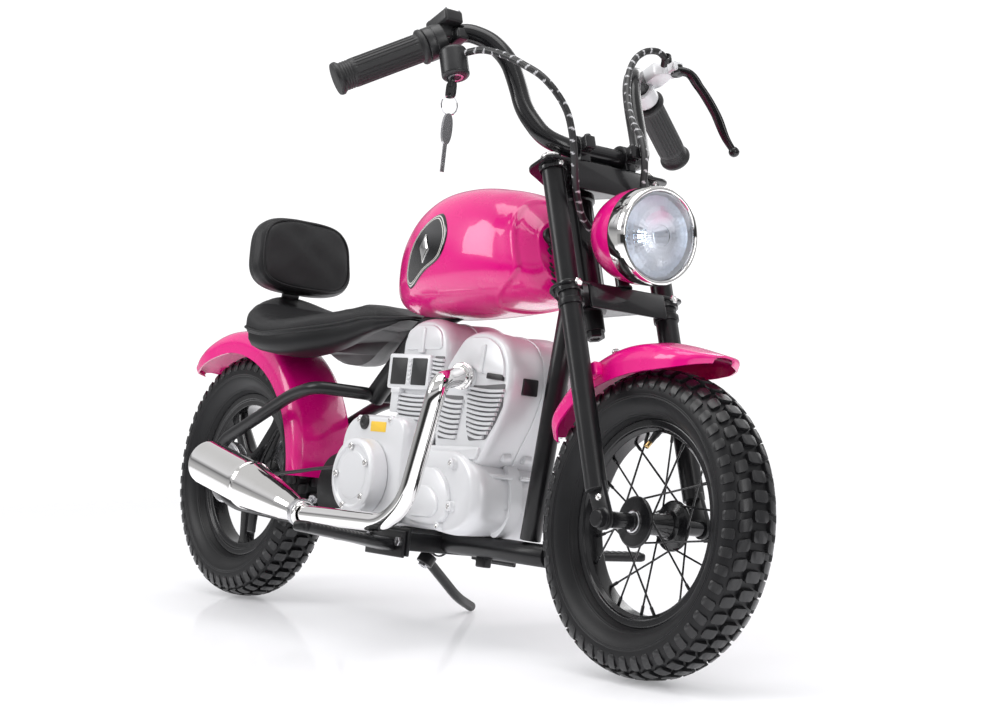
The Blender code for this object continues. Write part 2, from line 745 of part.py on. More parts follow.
def rear_fender(bike, finish):
    reach = WHEEL_RADIUS + FENDER_GAP
    stations = [
        (138.0, reach + 0.018, 0.34, 0.012),
        (136.0, reach + 0.017, 0.62, 0.015),
        (131.0, reach + 0.014, 0.84, 0.020),
        (123.0, reach + 0.012, 0.98, 0.026),
        (111.0, reach + 0.011, 1.00, 0.032),
        (97.0, reach + 0.009, 1.00, 0.034),
        (82.0, reach + 0.006, 1.00, 0.036),
        (66.0, reach + 0.003, 1.00, 0.036),
        (50.0, reach, 1.00, 0.034),
        (34.0, reach - 0.002, 1.00, 0.032),
        (18.0, reach - 0.004, 1.00, 0.030),
        (2.0, reach - 0.006, 1.00, 0.026),
    ]
    return fender("rear_fender", Vector((0, 0, WHEEL_RADIUS)), stations, finish, bike)


def front_fender(steering, finish):
    """The front fender, with a side ear on each side that bolts to its fork leg."""
    reach = WHEEL_RADIUS + FENDER_GAP - 0.002
    centre = Vector((AXLE_AHEAD, 0, -FORK_LENGTH))
    tilt = math.degrees(RAKE)
    stations = [
        (65.0, reach + 0.014, 0.34, 0.010),
        (67.0, reach + 0.012, 0.64, 0.014),
        (71.0, reach + 0.009, 0.86, 0.020),
        (79.0, reach + 0.006, 0.98, 0.028),
        (90.0, reach + 0.005, 1.00, 0.034),
        (101.0, reach + 0.004, 1.00, 0.036),
        (112.0, reach + 0.002, 1.00, 0.034),
        (123.0, reach, 1.00, 0.030),
        (135.0, reach - 0.002, 1.00, 0.026),
        (146.0, reach - 0.004, 0.90, 0.022),
        (152.0, reach - 0.006, 0.62, 0.016),
    ]
    stations = [(angle - tilt, *rest) for angle, *rest in stations]
    made = fender("front_fender", centre, stations, finish, steering)
    inner = FENDER_HALF_WIDTH - 0.0015
    outer = FORK_HALF_WIDTH - LEG_RADIUS - CLEARANCE
    for side in (-1, 1):
        size = (0.013, outer - inner, 0.013)
        ear = block(size, (FORK_AHEAD, side * (inner + outer) / 2, centre.z + WHEEL_RADIUS + 0.006))
        tool(f"fender_ear_{side}", ear, made, "UNION")
    return made


# Motor housing


ENGINE_LOW = BOTTOM_TUBE_HEIGHT + BOTTOM_TUBE_RADIUS + CLEARANCE * 1.5
COVER_X = 0.401
COVER_Z = 0.186
CYLINDERS = (
    ("rear", 0.459, 0.318, 0.096, math.radians(-6)),
    ("front", 0.5875, 0.303, 0.115, math.radians(7)),
)
CYLINDER_HEIGHT = 0.150


def engine_blocks(inset, steps):
    """The rounded shapes whose union is the housing, each drawn in by the inset."""
    shapes = []

    def add(size, centre, half_width, turn=0.0, edge=0.010):
        size = (size[0] - 2 * inset, 2 * (half_width - inset), size[1] - 2 * inset)
        shapes.append(soft_block(size, (centre[0], 0, centre[1]), turn, edge / 2 if inset else edge, steps))

    add((0.260, 0.096), (0.492, ENGINE_LOW + 0.048), CASE_HALF_WIDTH - 0.014, edge=0.016)
    add((0.142, 0.132), (0.404, ENGINE_LOW + 0.066), CASE_HALF_WIDTH, edge=0.016)
    for _, x, z, length, turn in CYLINDERS:
        add((length, CYLINDER_HEIGHT), (x, z), CYLINDER_HALF_WIDTH, turn, 0.018)
    return shapes


def engine_cover(name, side, bike, finish):
    """Half of the twin cylinder housing: a thin shell, open towards the middle of the bike."""
    outer = engine_blocks(0.0, 2)
    made = solid(name, outer[0], finish, bike, smooth=40)
    for i, shape in enumerate(outer[1:]):
        tool(f"{name}_block_{i}", shape, made, "UNION")
    for kind, x, z, length, turn in CYLINDERS:
        lift = Matrix.Rotation(turn, 3, "Y") @ Vector((0, 0, 1))
        for i in range(3):
            middle = Vector((x, 0, z)) + lift * (-0.054 + 0.024 * i)
            size = (length + 0.006, 0.016, 0.005)
            fin = block(size, (middle.x, side * (CYLINDER_HALF_WIDTH - 0.005), middle.z), turn)
            tool(f"{name}_{kind}_fin_{i}", fin, made, "UNION")
    for i, shape in enumerate(engine_blocks(ENGINE_WALL, 1)):
        tool(f"{name}_hollow_{i}", shape, made, "DIFFERENCE")
    middle = block((0.5, 0.2, 0.5), (0.50, side * (CLEARANCE / 2 - 0.1), 0.26))
    tool(name + "_middle", middle, made, "DIFFERENCE")
    route = [BACKBONE_BEND + Vector((0.090, 0, 0.0183)), BACKBONE_BEND, SEAT_TUBE_BEND, SEAT_TUBE_FOOT]
    slot = swept(bent_path(route, 0.035), SEAT_TUBE_RADIUS + CLEARANCE * 2)
    tool(name + "_slot", slot, made, "DIFFERENCE")
    return made


def clutch_cover(name, side, bike, finish):
    """The round cover on the side of the housing, with a step at its rim."""
    low = CLEARANCE
    profile = [
        (0, low),
        (COVER_RADIUS, low),
        (COVER_RADIUS, 0.019),
        (COVER_RADIUS - 0.002, 0.022),
        (COVER_RADIUS - 0.009, 0.0235),
        (COVER_RADIUS - 0.010, 0.0215),
        (0, 0.0215),
    ]
    turn = ALONG_Y if side > 0 else (math.pi / 2, 0, 0)
    place = (COVER_X, side * CASE_HALF_WIDTH, COVER_Z)
    return solid(name, turned(profile, 24), finish, bike, place, turn)


def battery_pack(bike, finish):
    return solid("battery_pack", soft_block((0.150, 0.1125, 0.082), (0.520, 0, ENGINE_LOW + 0.0448), 0, 0.0145), finish, bike)


# Drive


def pitch_radius(teeth):
    return CHAIN_PITCH / (2 * math.sin(math.pi / teeth))


def toothed(teeth, thickness):
    """A chain wheel with its teeth as points on its rim."""
    outer = pitch_radius(teeth) - 0.0012
    outline = []
    for i in range(teeth * 2):
        turn = math.pi * i / teeth
        radius = outer - 0.0022 if i % 2 else outer
        outline.append((radius * math.cos(turn), radius * math.sin(turn)))
    return plate(outline, thickness, -thickness / 2)


def drive_motor(bike, finish):
    """The motor can, with a boss each side, and a foot that reaches the footrest bracket's level."""
    half = 0.034
    profile = [
        (0, -half - 0.004),
        (0.020, -half - 0.004),
        (0.020, -half),
        (MOTOR_RADIUS, -half),
        (MOTOR_RADIUS, half - 0.003),
        (MOTOR_RADIUS - 0.003, half),
        (0.014, half),
        (0.014, half + 0.004),
        (0, half + 0.004),
    ]
    made = solid("drive_motor", turned(profile), finish, bike, (MOTOR_X, -0.002, MOTOR_Z), ALONG_Y)
    foot_length = BOTTOM_TUBE_REAR - CLEARANCE - MOTOR_X
    foot = block((foot_length, 0.050, 0.006), (MOTOR_X + foot_length / 2, 0, MOTOR_Z - MOTOR_RADIUS + 0.001))
    tool("motor_foot", foot, made, "UNION")
    return made


def motor_sprocket(bike, finish):
    """The small chain wheel on the motor's shaft, with its own short shaft."""
    made = solid("motor_sprocket", toothed(PINION_TEETH, 0.003), finish, bike,
                 (MOTOR_X, CHAIN_SIDE, MOTOR_Z), ALONG_Y)
    shaft = disc(0.0046, -0.0095, 0.004, 10)
    tool("motor_shaft", shaft, made, "UNION", (MOTOR_X, CHAIN_SIDE, MOTOR_Z), ALONG_Y)
    return made


def chain(bike, finish):
    """The roller chain as one band that runs round both chain wheels just outside their teeth."""
    start = Vector((0, 0, WHEEL_RADIUS))
    end = Vector((MOTOR_X, 0, MOTOR_Z))
    reach = (end - start).length
    heading = math.atan2(end.z - start.z, end.x - start.x)
    rings = [[], [], [], []]
    for offset, half, slots in ((0.0, 0.003, (0, 1)), (0.0046, 0.003, (2, 3))):
        large = pitch_radius(SPROCKET_TEETH) - 0.0012 + CLEARANCE + 0.0003 + offset
        small = pitch_radius(PINION_TEETH) - 0.0012 + CLEARANCE + 0.0003 + offset
        flare = math.acos((large - small) / reach)
        outline = []
        for i in range(23):
            turn = heading + flare + (2 * math.pi - 2 * flare) * i / 22
            outline.append(start + Vector((math.cos(turn), 0, math.sin(turn))) * large)
        for i in range(8):
            turn = heading - flare + 2 * flare * i / 7
            outline.append(end + Vector((math.cos(turn), 0, math.sin(turn))) * small)
        for slot, edge in zip(slots, (-half, half)):
            rings[slot] = [(p.x, CHAIN_SIDE + edge, p.z) for p in outline]
    return solid("drive_chain", rings_to_solid([rings[0], rings[1], rings[3], rings[2]], closed=True), finish, bike)


# Wheels


def tyre(name, finish, hub):
    """A tyre with a hollow inside that is open at its beads."""
    width = TYRE_HALF_WIDTH
    depth = WHEEL_RADIUS - RIM_RADIUS
    outer = [
        (RIM_RADIUS - 0.0052, 0.368),
        (RIM_RADIUS + 0.0006, 0.380),
        (RIM_RADIUS + 0.0006, 0.47),
        (RIM_RADIUS + depth * 0.22, 0.84),
        (RIM_RADIUS + depth * 0.52, 1.00),
        (RIM_RADIUS + depth * 0.88, 0.82),
        (WHEEL_RADIUS, 0.0),
    ]
    inner = [
        (RIM_RADIUS - 0.0052, 0.26),
        (RIM_RADIUS + depth * 0.50, 0.86),
        (RIM_RADIUS + depth * 0.86, 0.0),
    ]
    profile = [(r, share * width) for r, share in outer]
    profile += [(r, -share * width) for r, share in reversed(outer[:-1])]
    profile += [(r, -share * width) for r, share in inner]
    profile += [(r, share * width) for r, share in reversed(inner[:-1])]
    return solid(name, turned(profile, WHEEL_SIDES), finish, hub, rotation=ALONG_Y)


def rim_profile(bore):
    """The rim's section: a channel with a flange each side that holds the tyre's beads."""
    half = [
        (bore, 0.60),
        (RIM_RADIUS - 0.0085, 1.00),
        (RIM_RADIUS, 1.00),
        (RIM_RADIUS, 0.885),
        (RIM_RADIUS - 0.0056, 0.86),
    ]
    profile = [(r, share * RIM_HALF_WIDTH) for r, share in half]
    return profile + [(r, -height) for r, height in reversed(profile)]


def front_rim(finish, hub):
    return solid("front_rim", turned(rim_profile(RIM_BORE), WHEEL_SIDES), finish, hub, rotation=ALONG_Y)


def front_hub(finish, hub):
    """The hub barrel with its two flanges and the crossed spokes, as one piece."""
    bore = AXLE_RADIUS + RUNNING_CLEARANCE
    half = HUB_HALF_WIDTH
    profile = [
        (bore, -half - 0.003),
        (0.0125, -half - 0.003),
        (0.0130, -half - 0.0005),
        (HUB_FLANGE_RADIUS, -half - 0.0005),
        (HUB_FLANGE_RADIUS, -half + 0.003),
        (0.0120, -half + 0.006),
    ]
    profile += [(r, -height) for r, height in reversed(profile)]
    made = solid("front_hub", turned(profile), finish, hub, rotation=ALONG_Y)
    reach = RIM_BORE - 0.0013
    for i in range(SPOKE_COUNT):
        side = 1 if i % 2 else -1
        lead = 1 if i % 4 < 2 else -1
        outer = 2 * math.pi * i / SPOKE_COUNT
        inner = outer + lead * math.radians(62)
        start = Vector((math.cos(inner) * 0.0245, side * (half - 0.001), math.sin(inner) * 0.0245))
        end = Vector((math.cos(outer) * reach, side * 0.004, math.sin(outer) * reach))
        tool(f"spoke_{i}", rod(start, end, SPOKE_RADIUS, 3), made, "UNION")
    return made


REAR_HUB_RADIUS = 0.026
REAR_HUB_HALF_WIDTH = 0.032


def rear_wheel(finish, hub):
    """The cast rear wheel: rim, five broad spokes and hub in one piece."""
    made = solid("rear_wheel", turned(rim_profile(RIM_BORE - 0.003), WHEEL_SIDES), finish, hub, rotation=ALONG_Y)
    bore = AXLE_RADIUS + RUNNING_CLEARANCE
    barrel = turned([
        (bore, -REAR_HUB_HALF_WIDTH),
        (REAR_HUB_RADIUS, -REAR_HUB_HALF_WIDTH),
        (REAR_HUB_RADIUS, REAR_HUB_HALF_WIDTH),
        (bore, REAR_HUB_HALF_WIDTH),
    ])
    tool("rear_hub", barrel, made, "UNION", rotation=ALONG_Y)
    for i in range(CAST_SPOKES):
        turn = 2 * math.pi * (i + 0.25) / CAST_SPOKES
        rings = []
        for reach, half_width, half_depth in ((REAR_HUB_RADIUS - 0.006, 0.013, 0.012), (RIM_BORE, 0.009, 0.0075)):
            corners = ((-1, -1), (1, -1), (1, 1), (-1, 1))
            ring = [Vector((reach, half_depth * b, half_width * a)) for a, b in corners]
            rings.append([Matrix.Rotation(turn, 3, "Y") @ point for point in ring])
        tool(f"cast_spoke_{i}", rings_to_solid(rings), made, "UNION")
    return made


def rear_sprocket(finish, hub):
    """The large chain wheel, bored to seat round a short spigot of the hub."""
    place = (0, CHAIN_SIDE, 0)
    made = solid("rear_sprocket", toothed(SPROCKET_TEETH, 0.003), finish, hub, place, ALONG_Y)
    inner = REAR_HUB_HALF_WIDTH + CLEARANCE
    tool("sprocket_boss", disc(0.020, inner - CHAIN_SIDE, 0.0, 10), made, "UNION", place, ALONG_Y)
    bore = disc(AXLE_RADIUS + RUNNING_CLEARANCE, -0.03, 0.03)
    tool("sprocket_bore", bore, made, "DIFFERENCE", place, ALONG_Y)
    return made


def stepped_axle(name, steps, finish, parent, location):
    """A turned rod along Y with its own spacers and end nuts, symmetrical about the middle."""
    half = [(radius, reach) for radius, reach in steps]
    profile = [(0, -half[-1][1])]
    for i in range(len(half) - 1, -1, -1):
        radius, reach = half[i]
        inner = half[i - 1][1] if i else 0.0
        profile += [(radius, -reach), (radius, -inner)]
    profile += [(r, -z) for r, z in reversed(profile)]
    return solid(name, turned(profile, 8), finish, parent, location, ALONG_Y)


def rear_axle(bike, finish):
    plate_in = STAY_HALF_WIDTH - DROPOUT_THICKNESS / 2 - CLEARANCE
    plate_out = STAY_HALF_WIDTH + DROPOUT_THICKNESS / 2 + CLEARANCE
    steps = [(AXLE_RADIUS, CHAIN_SIDE + 0.012), (0.008, plate_in), (AXLE_RADIUS, plate_out), (0.009, plate_out + 0.008)]
    return stepped_axle("rear_axle", steps, finish, bike, (0, 0, WHEEL_RADIUS))


BRAKE_RADIUS = 0.043


def brake_plate(bike, finish):
    """The fixed back plate of the rear brake, which shuts the drum on the right of the hub."""
    high = STAY_HALF_WIDTH - DROPOUT_THICKNESS / 2 - 0.004
    low = REAR_HUB_HALF_WIDTH + CLEARANCE * 2
    bore = AXLE_RADIUS + CLEARANCE
    profile = [
        (bore, low),
        (BRAKE_RADIUS, low),
        (BRAKE_RADIUS, low + 0.013),
        (BRAKE_RADIUS - 0.003, low + 0.016),
        (0.018, low + 0.018),
        (0.011, high - 0.0065),
        (bore, high - 0.0065),
    ]
    return solid("brake_plate", turned(profile), finish, bike, (0, 0, WHEEL_RADIUS), (math.pi / 2, 0, 0))


BRAKE_ARM_PIVOT = Vector((0.024, -0.0535, 0.020))
BRAKE_ARM_LENGTH = 0.046
BRAKE_ARM_DROP = math.radians(14)


def brake_arm(bike, finish):
    """The short lever that the brake cable pulls, on its pivot in the back plate."""
    pivot = Vector((0, 0, WHEEL_RADIUS)) + BRAKE_ARM_PIVOT
    half = 0.0055
    arm = rounded_outline([(-half, -half), (BRAKE_ARM_LENGTH, -half), (BRAKE_ARM_LENGTH, half), (-half, half)], 0.004)
    made = solid("brake_arm", plate(arm, 0.0035), finish, bike, pivot, (math.pi / 2, BRAKE_ARM_DROP, 0))
    tool("arm_boss", disc(0.006, -0.0028, 0.0045, 12), made, "UNION", pivot, (math.pi / 2, 0, 0))
    return made


# Exhaust


def exhaust_pipe(bike, finish):
    """The chrome pipe from its flange on the front cylinder down and back to the muffler."""
    y = -EXHAUST_SIDE
    corners = [
        (0.5665, -CYLINDER_HALF_WIDTH - 0.0130, 0.3178),
        (0.6080, y, 0.306),
        (0.5680, y, 0.163),
        (0.5280, y, 0.134),
        (0.3485, y, 0.131),
    ]
    port = Vector((0.5643, -CYLINDER_HALF_WIDTH - 0.0042, 0.318))
    path = [port] + bent_path(corners, 0.022)
    made = solid("exhaust_pipe", swept(path, EXHAUST_RADIUS), finish, bike, smooth=60)
    reach = EXHAUST_SIDE - BRACKET_HALF_WIDTH - 0.0045
    hanger = block((0.014, reach, 0.006), (0.448, -EXHAUST_SIDE + reach / 2, 0.1320))
    tool("exhaust_hanger", hanger, made, "UNION")
    return made


MUFFLER_TILT = math.radians(11.0)
MUFFLER_START = Vector((0.3455, -EXHAUST_SIDE, 0.1305))
MUFFLER_LENGTH = 0.268


def muffler(bike, finish):
    """The silencer: a collar on the pipe, a long cone, then a plain barrel with an open end."""
    length = MUFFLER_LENGTH
    radius = MUFFLER_RADIUS
    profile = [
        (0, 0.0),
        (0.0150, 0.0),
        (0.0165, 0.003),
        (0.0165, 0.013),
        (0.0150, 0.016),
        (radius + 0.0005, length * 0.52),
        (radius + 0.0015, length * 0.53),
        (radius, length * 0.545),
        (radius, length - 0.010),
        (radius - 0.003, length - 0.002),
        (radius - 0.009, length),
        (radius - 0.010, length - 0.018),
        (0, length - 0.018),
    ]
    turn = (0, -math.pi / 2 + MUFFLER_TILT, 0)
    made = solid("muffler", turned(profile), finish, bike, MUFFLER_START, turn, smooth=40)
    return made


# Kickstand


def kickstand(parent, finish):
    """The stand's leg: an eye at the pivot, a bent bar and a flat foot."""
    foot = stand_foot() - STAND_PIVOT
    bend = foot * 0.72 + Vector((0.010, -0.010, -0.004))
    made = solid("kickstand_leg", swept(bent_path([(0, 0, 0), bend, foot], 0.02), 0.0065, 8), finish, parent)
    half = STAND_EYE_THICKNESS / 2
    eye = disc(STAND_EYE_RADIUS, -half, half, 20)
    tool("stand_eye", eye, made, "UNION", rotation=stand_axis().to_track_quat("Z", "Y").to_euler())
    return made


# Steering parts


def clamp_plate(name, height, lobe, flange_drop, steering, finish):
    """A flat plate over the stem and both fork legs, with a folded lip at its front."""
    low = height - CLAMP_THICKNESS
    ahead = FORK_AHEAD
    side = FORK_HALF_WIDTH
    corners = [
        (ahead + lobe, -side - lobe),
        (ahead + lobe, side + lobe),
        (ahead - lobe, side + lobe),
        (-0.0185, 0.012),
        (-0.0185, -0.012),
        (ahead - lobe, -side - lobe),
    ]
    made = solid(name, plate(rounded_outline(corners, 0.012, 2), CLAMP_THICKNESS, low), finish, steering)
    lip = block((0.003, 2 * side - 0.030, flange_drop), (ahead + lobe - 0.0019, 0, height - 0.0005 - flange_drop / 2))
    tool(name + "_lip", lip, made, "UNION", solver="MANIFOLD")
    for end in (-1, 1):
        ring = disc(LEG_RADIUS + 0.0032, low - 0.006, height + 0.001, 16)
        tool(f"{name}_ring_{end}", ring, made, "UNION", (ahead, end * side, 0), solver="MANIFOLD")
    for end in (-1, 1):
        leg = disc(LEG_RADIUS + CLEARANCE, low - 0.03, height + 0.03, 16)
        tool(f"{name}_leg_{end}", leg, made, "DIFFERENCE", (ahead, end * side, 0), solver="MANIFOLD")
    stem = disc(STEM_RADIUS + CLEARANCE, low - 0.03, height + 0.03, 16)
    tool(name + "_stem", stem, made, "DIFFERENCE", solver="MANIFOLD")
    return made


def steering_stem(steering, finish):
    """The stem through the head tube, with washers and a nut below the lower plate."""
    low = -CLAMP_THICKNESS - CLEARANCE
    profile = [
        (0, low - 0.026),
        (0.0085, low - 0.026),
        (0.0085, low - 0.016),
        (0.0145, low - 0.016),
        (0.0145, low - 0.006),
        (0.0175, low - 0.006),
        (0.0175, low),
        (STEM_RADIUS, low),
        (STEM_RADIUS, CLEARANCE),
        (0.0175, CLEARANCE),
        (0.0175, 0.0050),
        (STEM_RADIUS, 0.0052),
        (STEM_RADIUS, CLAMP_SPACING + 0.003),
        (0, CLAMP_SPACING + 0.003),
    ]
    return solid("steering_stem", turned(profile, 12), finish, steering)


def fork_leg(name, side, steering, finish):
    """A straight tube with a flat plate let into its foot for the front axle."""
    foot = -FORK_LENGTH + 0.034
    y = side * FORK_HALF_WIDTH
    tube = disc(LEG_RADIUS, foot, CLAMP_SPACING + 0.006)
    made = solid(name, tube, finish, steering, (FORK_AHEAD, y, 0))
    half = 0.0125
    outline = [(-half, 0.044), (-half, 0.0)]
    outline += [(half * math.cos(math.pi + math.pi * i / 8), half * math.sin(math.pi + math.pi * i / 8)) for i in range(1, 8)]
    outline += [(half, 0.0), (half, 0.044)]
    outline = [(x + AXLE_LEAD * max(0.0, 1 - z / 0.040), z) for x, z in outline]
    end = plate(outline, 0.006, -0.003)
    tool(name + "_end", end, made, "UNION", (FORK_AHEAD, y, -FORK_LENGTH), (math.pi / 2, 0, 0))
    bore = disc(AXLE_RADIUS + CLEARANCE, -0.02, 0.02, 16)
    tool(name + "_bore", bore, made, "DIFFERENCE", (AXLE_AHEAD, y, -FORK_LENGTH), ALONG_Y)
    return made


def front_axle(steering, finish):
    plate_in = FORK_HALF_WIDTH - 0.003 - CLEARANCE
    plate_out = FORK_HALF_WIDTH + 0.003 + CLEARANCE
    steps = [(AXLE_RADIUS, HUB_HALF_WIDTH + 0.005), (0.008, plate_in), (AXLE_RADIUS, plate_out), (0.010, plate_out + 0.010)]
    return stepped_axle("front_axle", steps, finish, steering, (AXLE_AHEAD, 0, -FORK_LENGTH))


def bar_half_path():
    """The left half of the handlebar in the steering's axes, from the middle of the crossbar outwards."""
    low = Vector((FORK_AHEAD + 0.006, 0, BAR_HEIGHT))
    points = [low, low + Vector((0, 0.048, 0))]
    for spot in ((0.690, 0.074, 0.597), (0.664, 0.087, 0.628), (0.648, 0.089, 0.660), (0.632, 0.094, 0.690),
                 (0.613, 0.110, 0.7105), (0.596, 0.128, 0.7175)):
        points.append(to_steering(spot))
    return points + [GRIP_OUTER + GRIP_AXIS * (GRIP_LENGTH + 0.042), GRIP_OUTER + GRIP_AXIS * (GRIP_LENGTH + 0.029)]


GRIP_OUTER = to_steering((0.531, GRIP_HALF_SPAN, 0.641))
GRIP_AXIS = (to_steering((0.575, GRIP_HALF_SPAN - 0.102, 0.702)) - GRIP_OUTER).normalized()


def on_right(point):
    return Vector((point.x, -point.y, point.z))


def handlebar(steering, finish):
    left = smooth_path(bar_half_path()[1:], 0.035)
    left = left + [GRIP_OUTER + GRIP_AXIS * 0.006]
    path = [on_right(point) for point in reversed(left)] + left
    return solid("handlebar", swept(path, BAR_RADIUS), finish, steering, smooth=60)


def bar_clamp(name, side, steering, finish):
    """A split block on the upper plate that grips the crossbar."""
    x = FORK_AHEAD + 0.006
    y = side * BAR_CLAMP_HALF_SPACING
    made = solid(name, disc(BAR_RADIUS + 0.0055, -0.0075, 0.0075, 14), finish, steering, (x, y, BAR_HEIGHT), ALONG_Y)
    low = CLAMP_SPACING + CLEARANCE
    base = block((0.026, 0.015, BAR_ABOVE_CLAMP - CLEARANCE), (x, y, (low + BAR_HEIGHT) / 2))
    tool(name + "_base", base, made, "UNION")
    bolt = disc(0.0045, 0.0, 0.034, 8)
    tool(name + "_bolt", bolt, made, "UNION", (x - 0.0135, y, BAR_HEIGHT - 0.016))
    bore = disc(BAR_RADIUS + CLEARANCE, -0.03, 0.03, 16)
    tool(name + "_bore", bore, made, "DIFFERENCE", (x, y, BAR_HEIGHT), ALONG_Y)
    return made


def bar_turn(side):
    """The rotation that lays a turned piece's axis along the grip, pointing outwards."""
    axis = -GRIP_AXIS if side > 0 else -on_right(GRIP_AXIS)
    return axis.to_track_quat("Z", "Y").to_euler()


def grip_profile(bore):
    """A rubber grip with a flange at its inner end and a closed rounded end outside."""
    length = GRIP_LENGTH
    radius = GRIP_RADIUS
    return [
        (bore, 0.0),
        (radius + 0.004, 0.0),
        (radius + 0.004, 0.004),
        (radius, 0.006),
        (radius, length - 0.008),
        (radius + 0.0022, length - 0.006),
        (radius + 0.0022, length - 0.001),
        (radius, length),
        (0, length),
        (0, length - 0.004),
        (bore, length - 0.004),
    ]


def grip(name, side, parent, finish, location=None):
    inner = GRIP_OUTER + GRIP_AXIS * GRIP_LENGTH
    if side < 0:
        inner = on_right(inner)
    shape = turned(grip_profile(BAR_RADIUS + RUNNING_CLEARANCE))
    return solid(name, shape, finish, parent, inner if location is None else location, bar_turn(side))


def along_grip(side, distance):
    """A point on the bar's axis, this far inside the grip's inner end."""
    point = GRIP_OUTER + GRIP_AXIS * (GRIP_LENGTH + distance)
    return point if side > 0 else on_right(point)


LOCK_FROM_COLLAR = (0.02635, 0.01693, -0.03201)


def throttle_housing(steering, finish):
    """The switch housing beside the throttle: a collar on the bar, a gauge box above and a lock barrel below."""
    place = along_grip(-1, 0.0024)
    turn = bar_turn(-1)
    made = solid("throttle_housing", disc(0.0205, -0.024, 0.0), finish, steering, place, turn)
    box = soft_block((0.042, 0.026, 0.016), edge=0.003, steps=1)
    tool("gauge_box", box, made, "UNION", place + Vector((0.012, 0.009, 0.022)), (0, RAKE, 0))
    barrel = disc(0.0165, -0.020, 0.016)
    tool("lock_barrel", barrel, made, "UNION", LOCK_PLACE, (0, RAKE, 0))
    bore = disc(BAR_RADIUS + CLEARANCE, -0.06, 0.03, 16)
    tool("housing_bore", bore, made, "DIFFERENCE", place, turn)
    return made


LOCK_PLACE = along_grip(-1, 0.0024) + Vector(LOCK_FROM_COLLAR)


def ignition_key(parent, finish):
    """The key in its lock: a flat head below the barrel on a short shaft."""
    head = plate(rounded_outline([(-0.009, -0.022), (0.009, -0.022), (0.009, -0.002), (-0.009, -0.002)], 0.006), 0.003, -0.0015)
    made = solid("ignition_key", head, finish, parent, (0, 0, 0), (math.pi / 2, 0, 0))
    tool("key_shaft", disc(0.0035, -0.008, 0.0, 10), made, "UNION")
    tool("key_eye", disc(0.0022, -0.01, 0.01, 12), made, "DIFFERENCE", (0, 0, -0.0175), ALONG_Y)
    return made


SPARE_RING_RADIUS = 0.0115


def spare_key(parent, finish):
    """The wire ring through the key's eye and the spare key that hangs from it, as one piece."""
    steps = 14
    ring = []
    for i in range(steps):
        turn = 2 * math.pi * i / steps
        out = Vector((0, math.cos(turn), math.sin(turn)))
        centre = out * SPARE_RING_RADIUS - Vector((0, 0, SPARE_RING_RADIUS))
        wire = 0.0009
        ring.append([centre + out * wire * math.cos(a) + Vector((wire * math.sin(a), 0, 0))
                     for a in (math.pi / 2 * k for k in range(4))])
    made = solid("spare_key", rings_to_solid(ring, closed=True), finish, parent)
    low = -2 * SPARE_RING_RADIUS
    fob = plate([(x, z + low - 0.0165) for x, z in oval(0.0068, 0.0185, 2.3, 20)], 0.0040, -0.002)
    tool("spare_fob", fob, made, "UNION", rotation=(math.pi / 2, 0, math.pi / 2))
    tool("spare_blade", block((0.0016, 0.0050, 0.034), (0, 0, low - 0.050)), made, "UNION")
    return made


PERCH_BODY = along_grip(1, 0.012) + Vector((0.030, 0.000, 0.016))
LEVER_PIVOT = PERCH_BODY + Vector((0.0260, 0.010, -0.006))
LEVER_END = to_steering((0.6675, 0.240, 0.638)) - LEVER_PIVOT
LEVER_EYE_RADIUS = 0.0075
LEVER_EYE_HALF = 0.0055
LEVER_PIN_RADIUS = 0.0030
LEVER_EAR = 0.0033


def lever_turn():
    """Turns Z onto the lever's hinge line, square to its blade and to the way it is squeezed."""
    squeeze = GRIP_OUTER - (LEVER_PIVOT + LEVER_END)
    return LEVER_END.cross(squeeze).to_track_quat("Z", "Y").to_euler()


def brake_perch(steering, finish):
    """The clamp on the left of the bar, with an ear and a pin that carry the brake lever."""
    place = along_grip(1, 0.0024)
    turn = bar_turn(1)
    made = solid("brake_perch", disc(0.0170, -0.022, 0.0), finish, steering, place, turn)
    body = soft_block((0.040, 0.030, 0.024), edge=0.003, steps=1)
    tool("perch_body", body, made, "UNION", PERCH_BODY, (0, RAKE, 0))
    bore = disc(BAR_RADIUS + CLEARANCE, -0.06, 0.03, 16)
    tool("perch_bore", bore, made, "DIFFERENCE", place, turn)
    seat = -LEVER_EYE_HALF - CLEARANCE
    swing = disc(0.0135, seat, 0.02, 12)
    tool("lever_room", swing, made, "DIFFERENCE", LEVER_PIVOT, lever_turn())
    ear = disc(0.012, seat - LEVER_EAR, seat, 12)
    tool("lever_ear", ear, made, "UNION", LEVER_PIVOT, lever_turn())
    pin = disc(LEVER_PIN_RADIUS, seat - LEVER_EAR / 2, LEVER_EYE_HALF, 12)
    tool("lever_pin", pin, made, "UNION", LEVER_PIVOT, lever_turn())
    return made


def brake_lever(parent, finish):
    """The lever blade, from its eye round the pin out in front of the grip to a ball end."""
    middle = LEVER_END * 0.52 + Vector((0.012, 0.0, 0.006))
    path = bent_path([(0, 0, 0), middle, LEVER_END], 0.03)
    radii = [0.0052, 0.0055, 0.0055, 0.0052, 0.0048, 0.0044, 0.004]
    made = solid("brake_lever", swept(path, radii[:len(path)], 8), finish, parent, smooth=60)
    eye = disc(LEVER_EYE_RADIUS, -LEVER_EYE_HALF, LEVER_EYE_HALF, 16)
    tool("lever_eye", eye, made, "UNION", rotation=lever_turn())
    bore = disc(LEVER_PIN_RADIUS + CLEARANCE, -0.02, 0.02, 12)
    tool("lever_bore", bore, made, "DIFFERENCE", rotation=lever_turn())
    ball = bmesh.new()
    bmesh.ops.create_icosphere(ball, subdivisions=2, radius=0.0070)
    bmesh.ops.translate(ball, vec=LEVER_END, verts=ball.verts)
    tool("lever_ball", ball, made, "UNION")
    return made


# Headlight


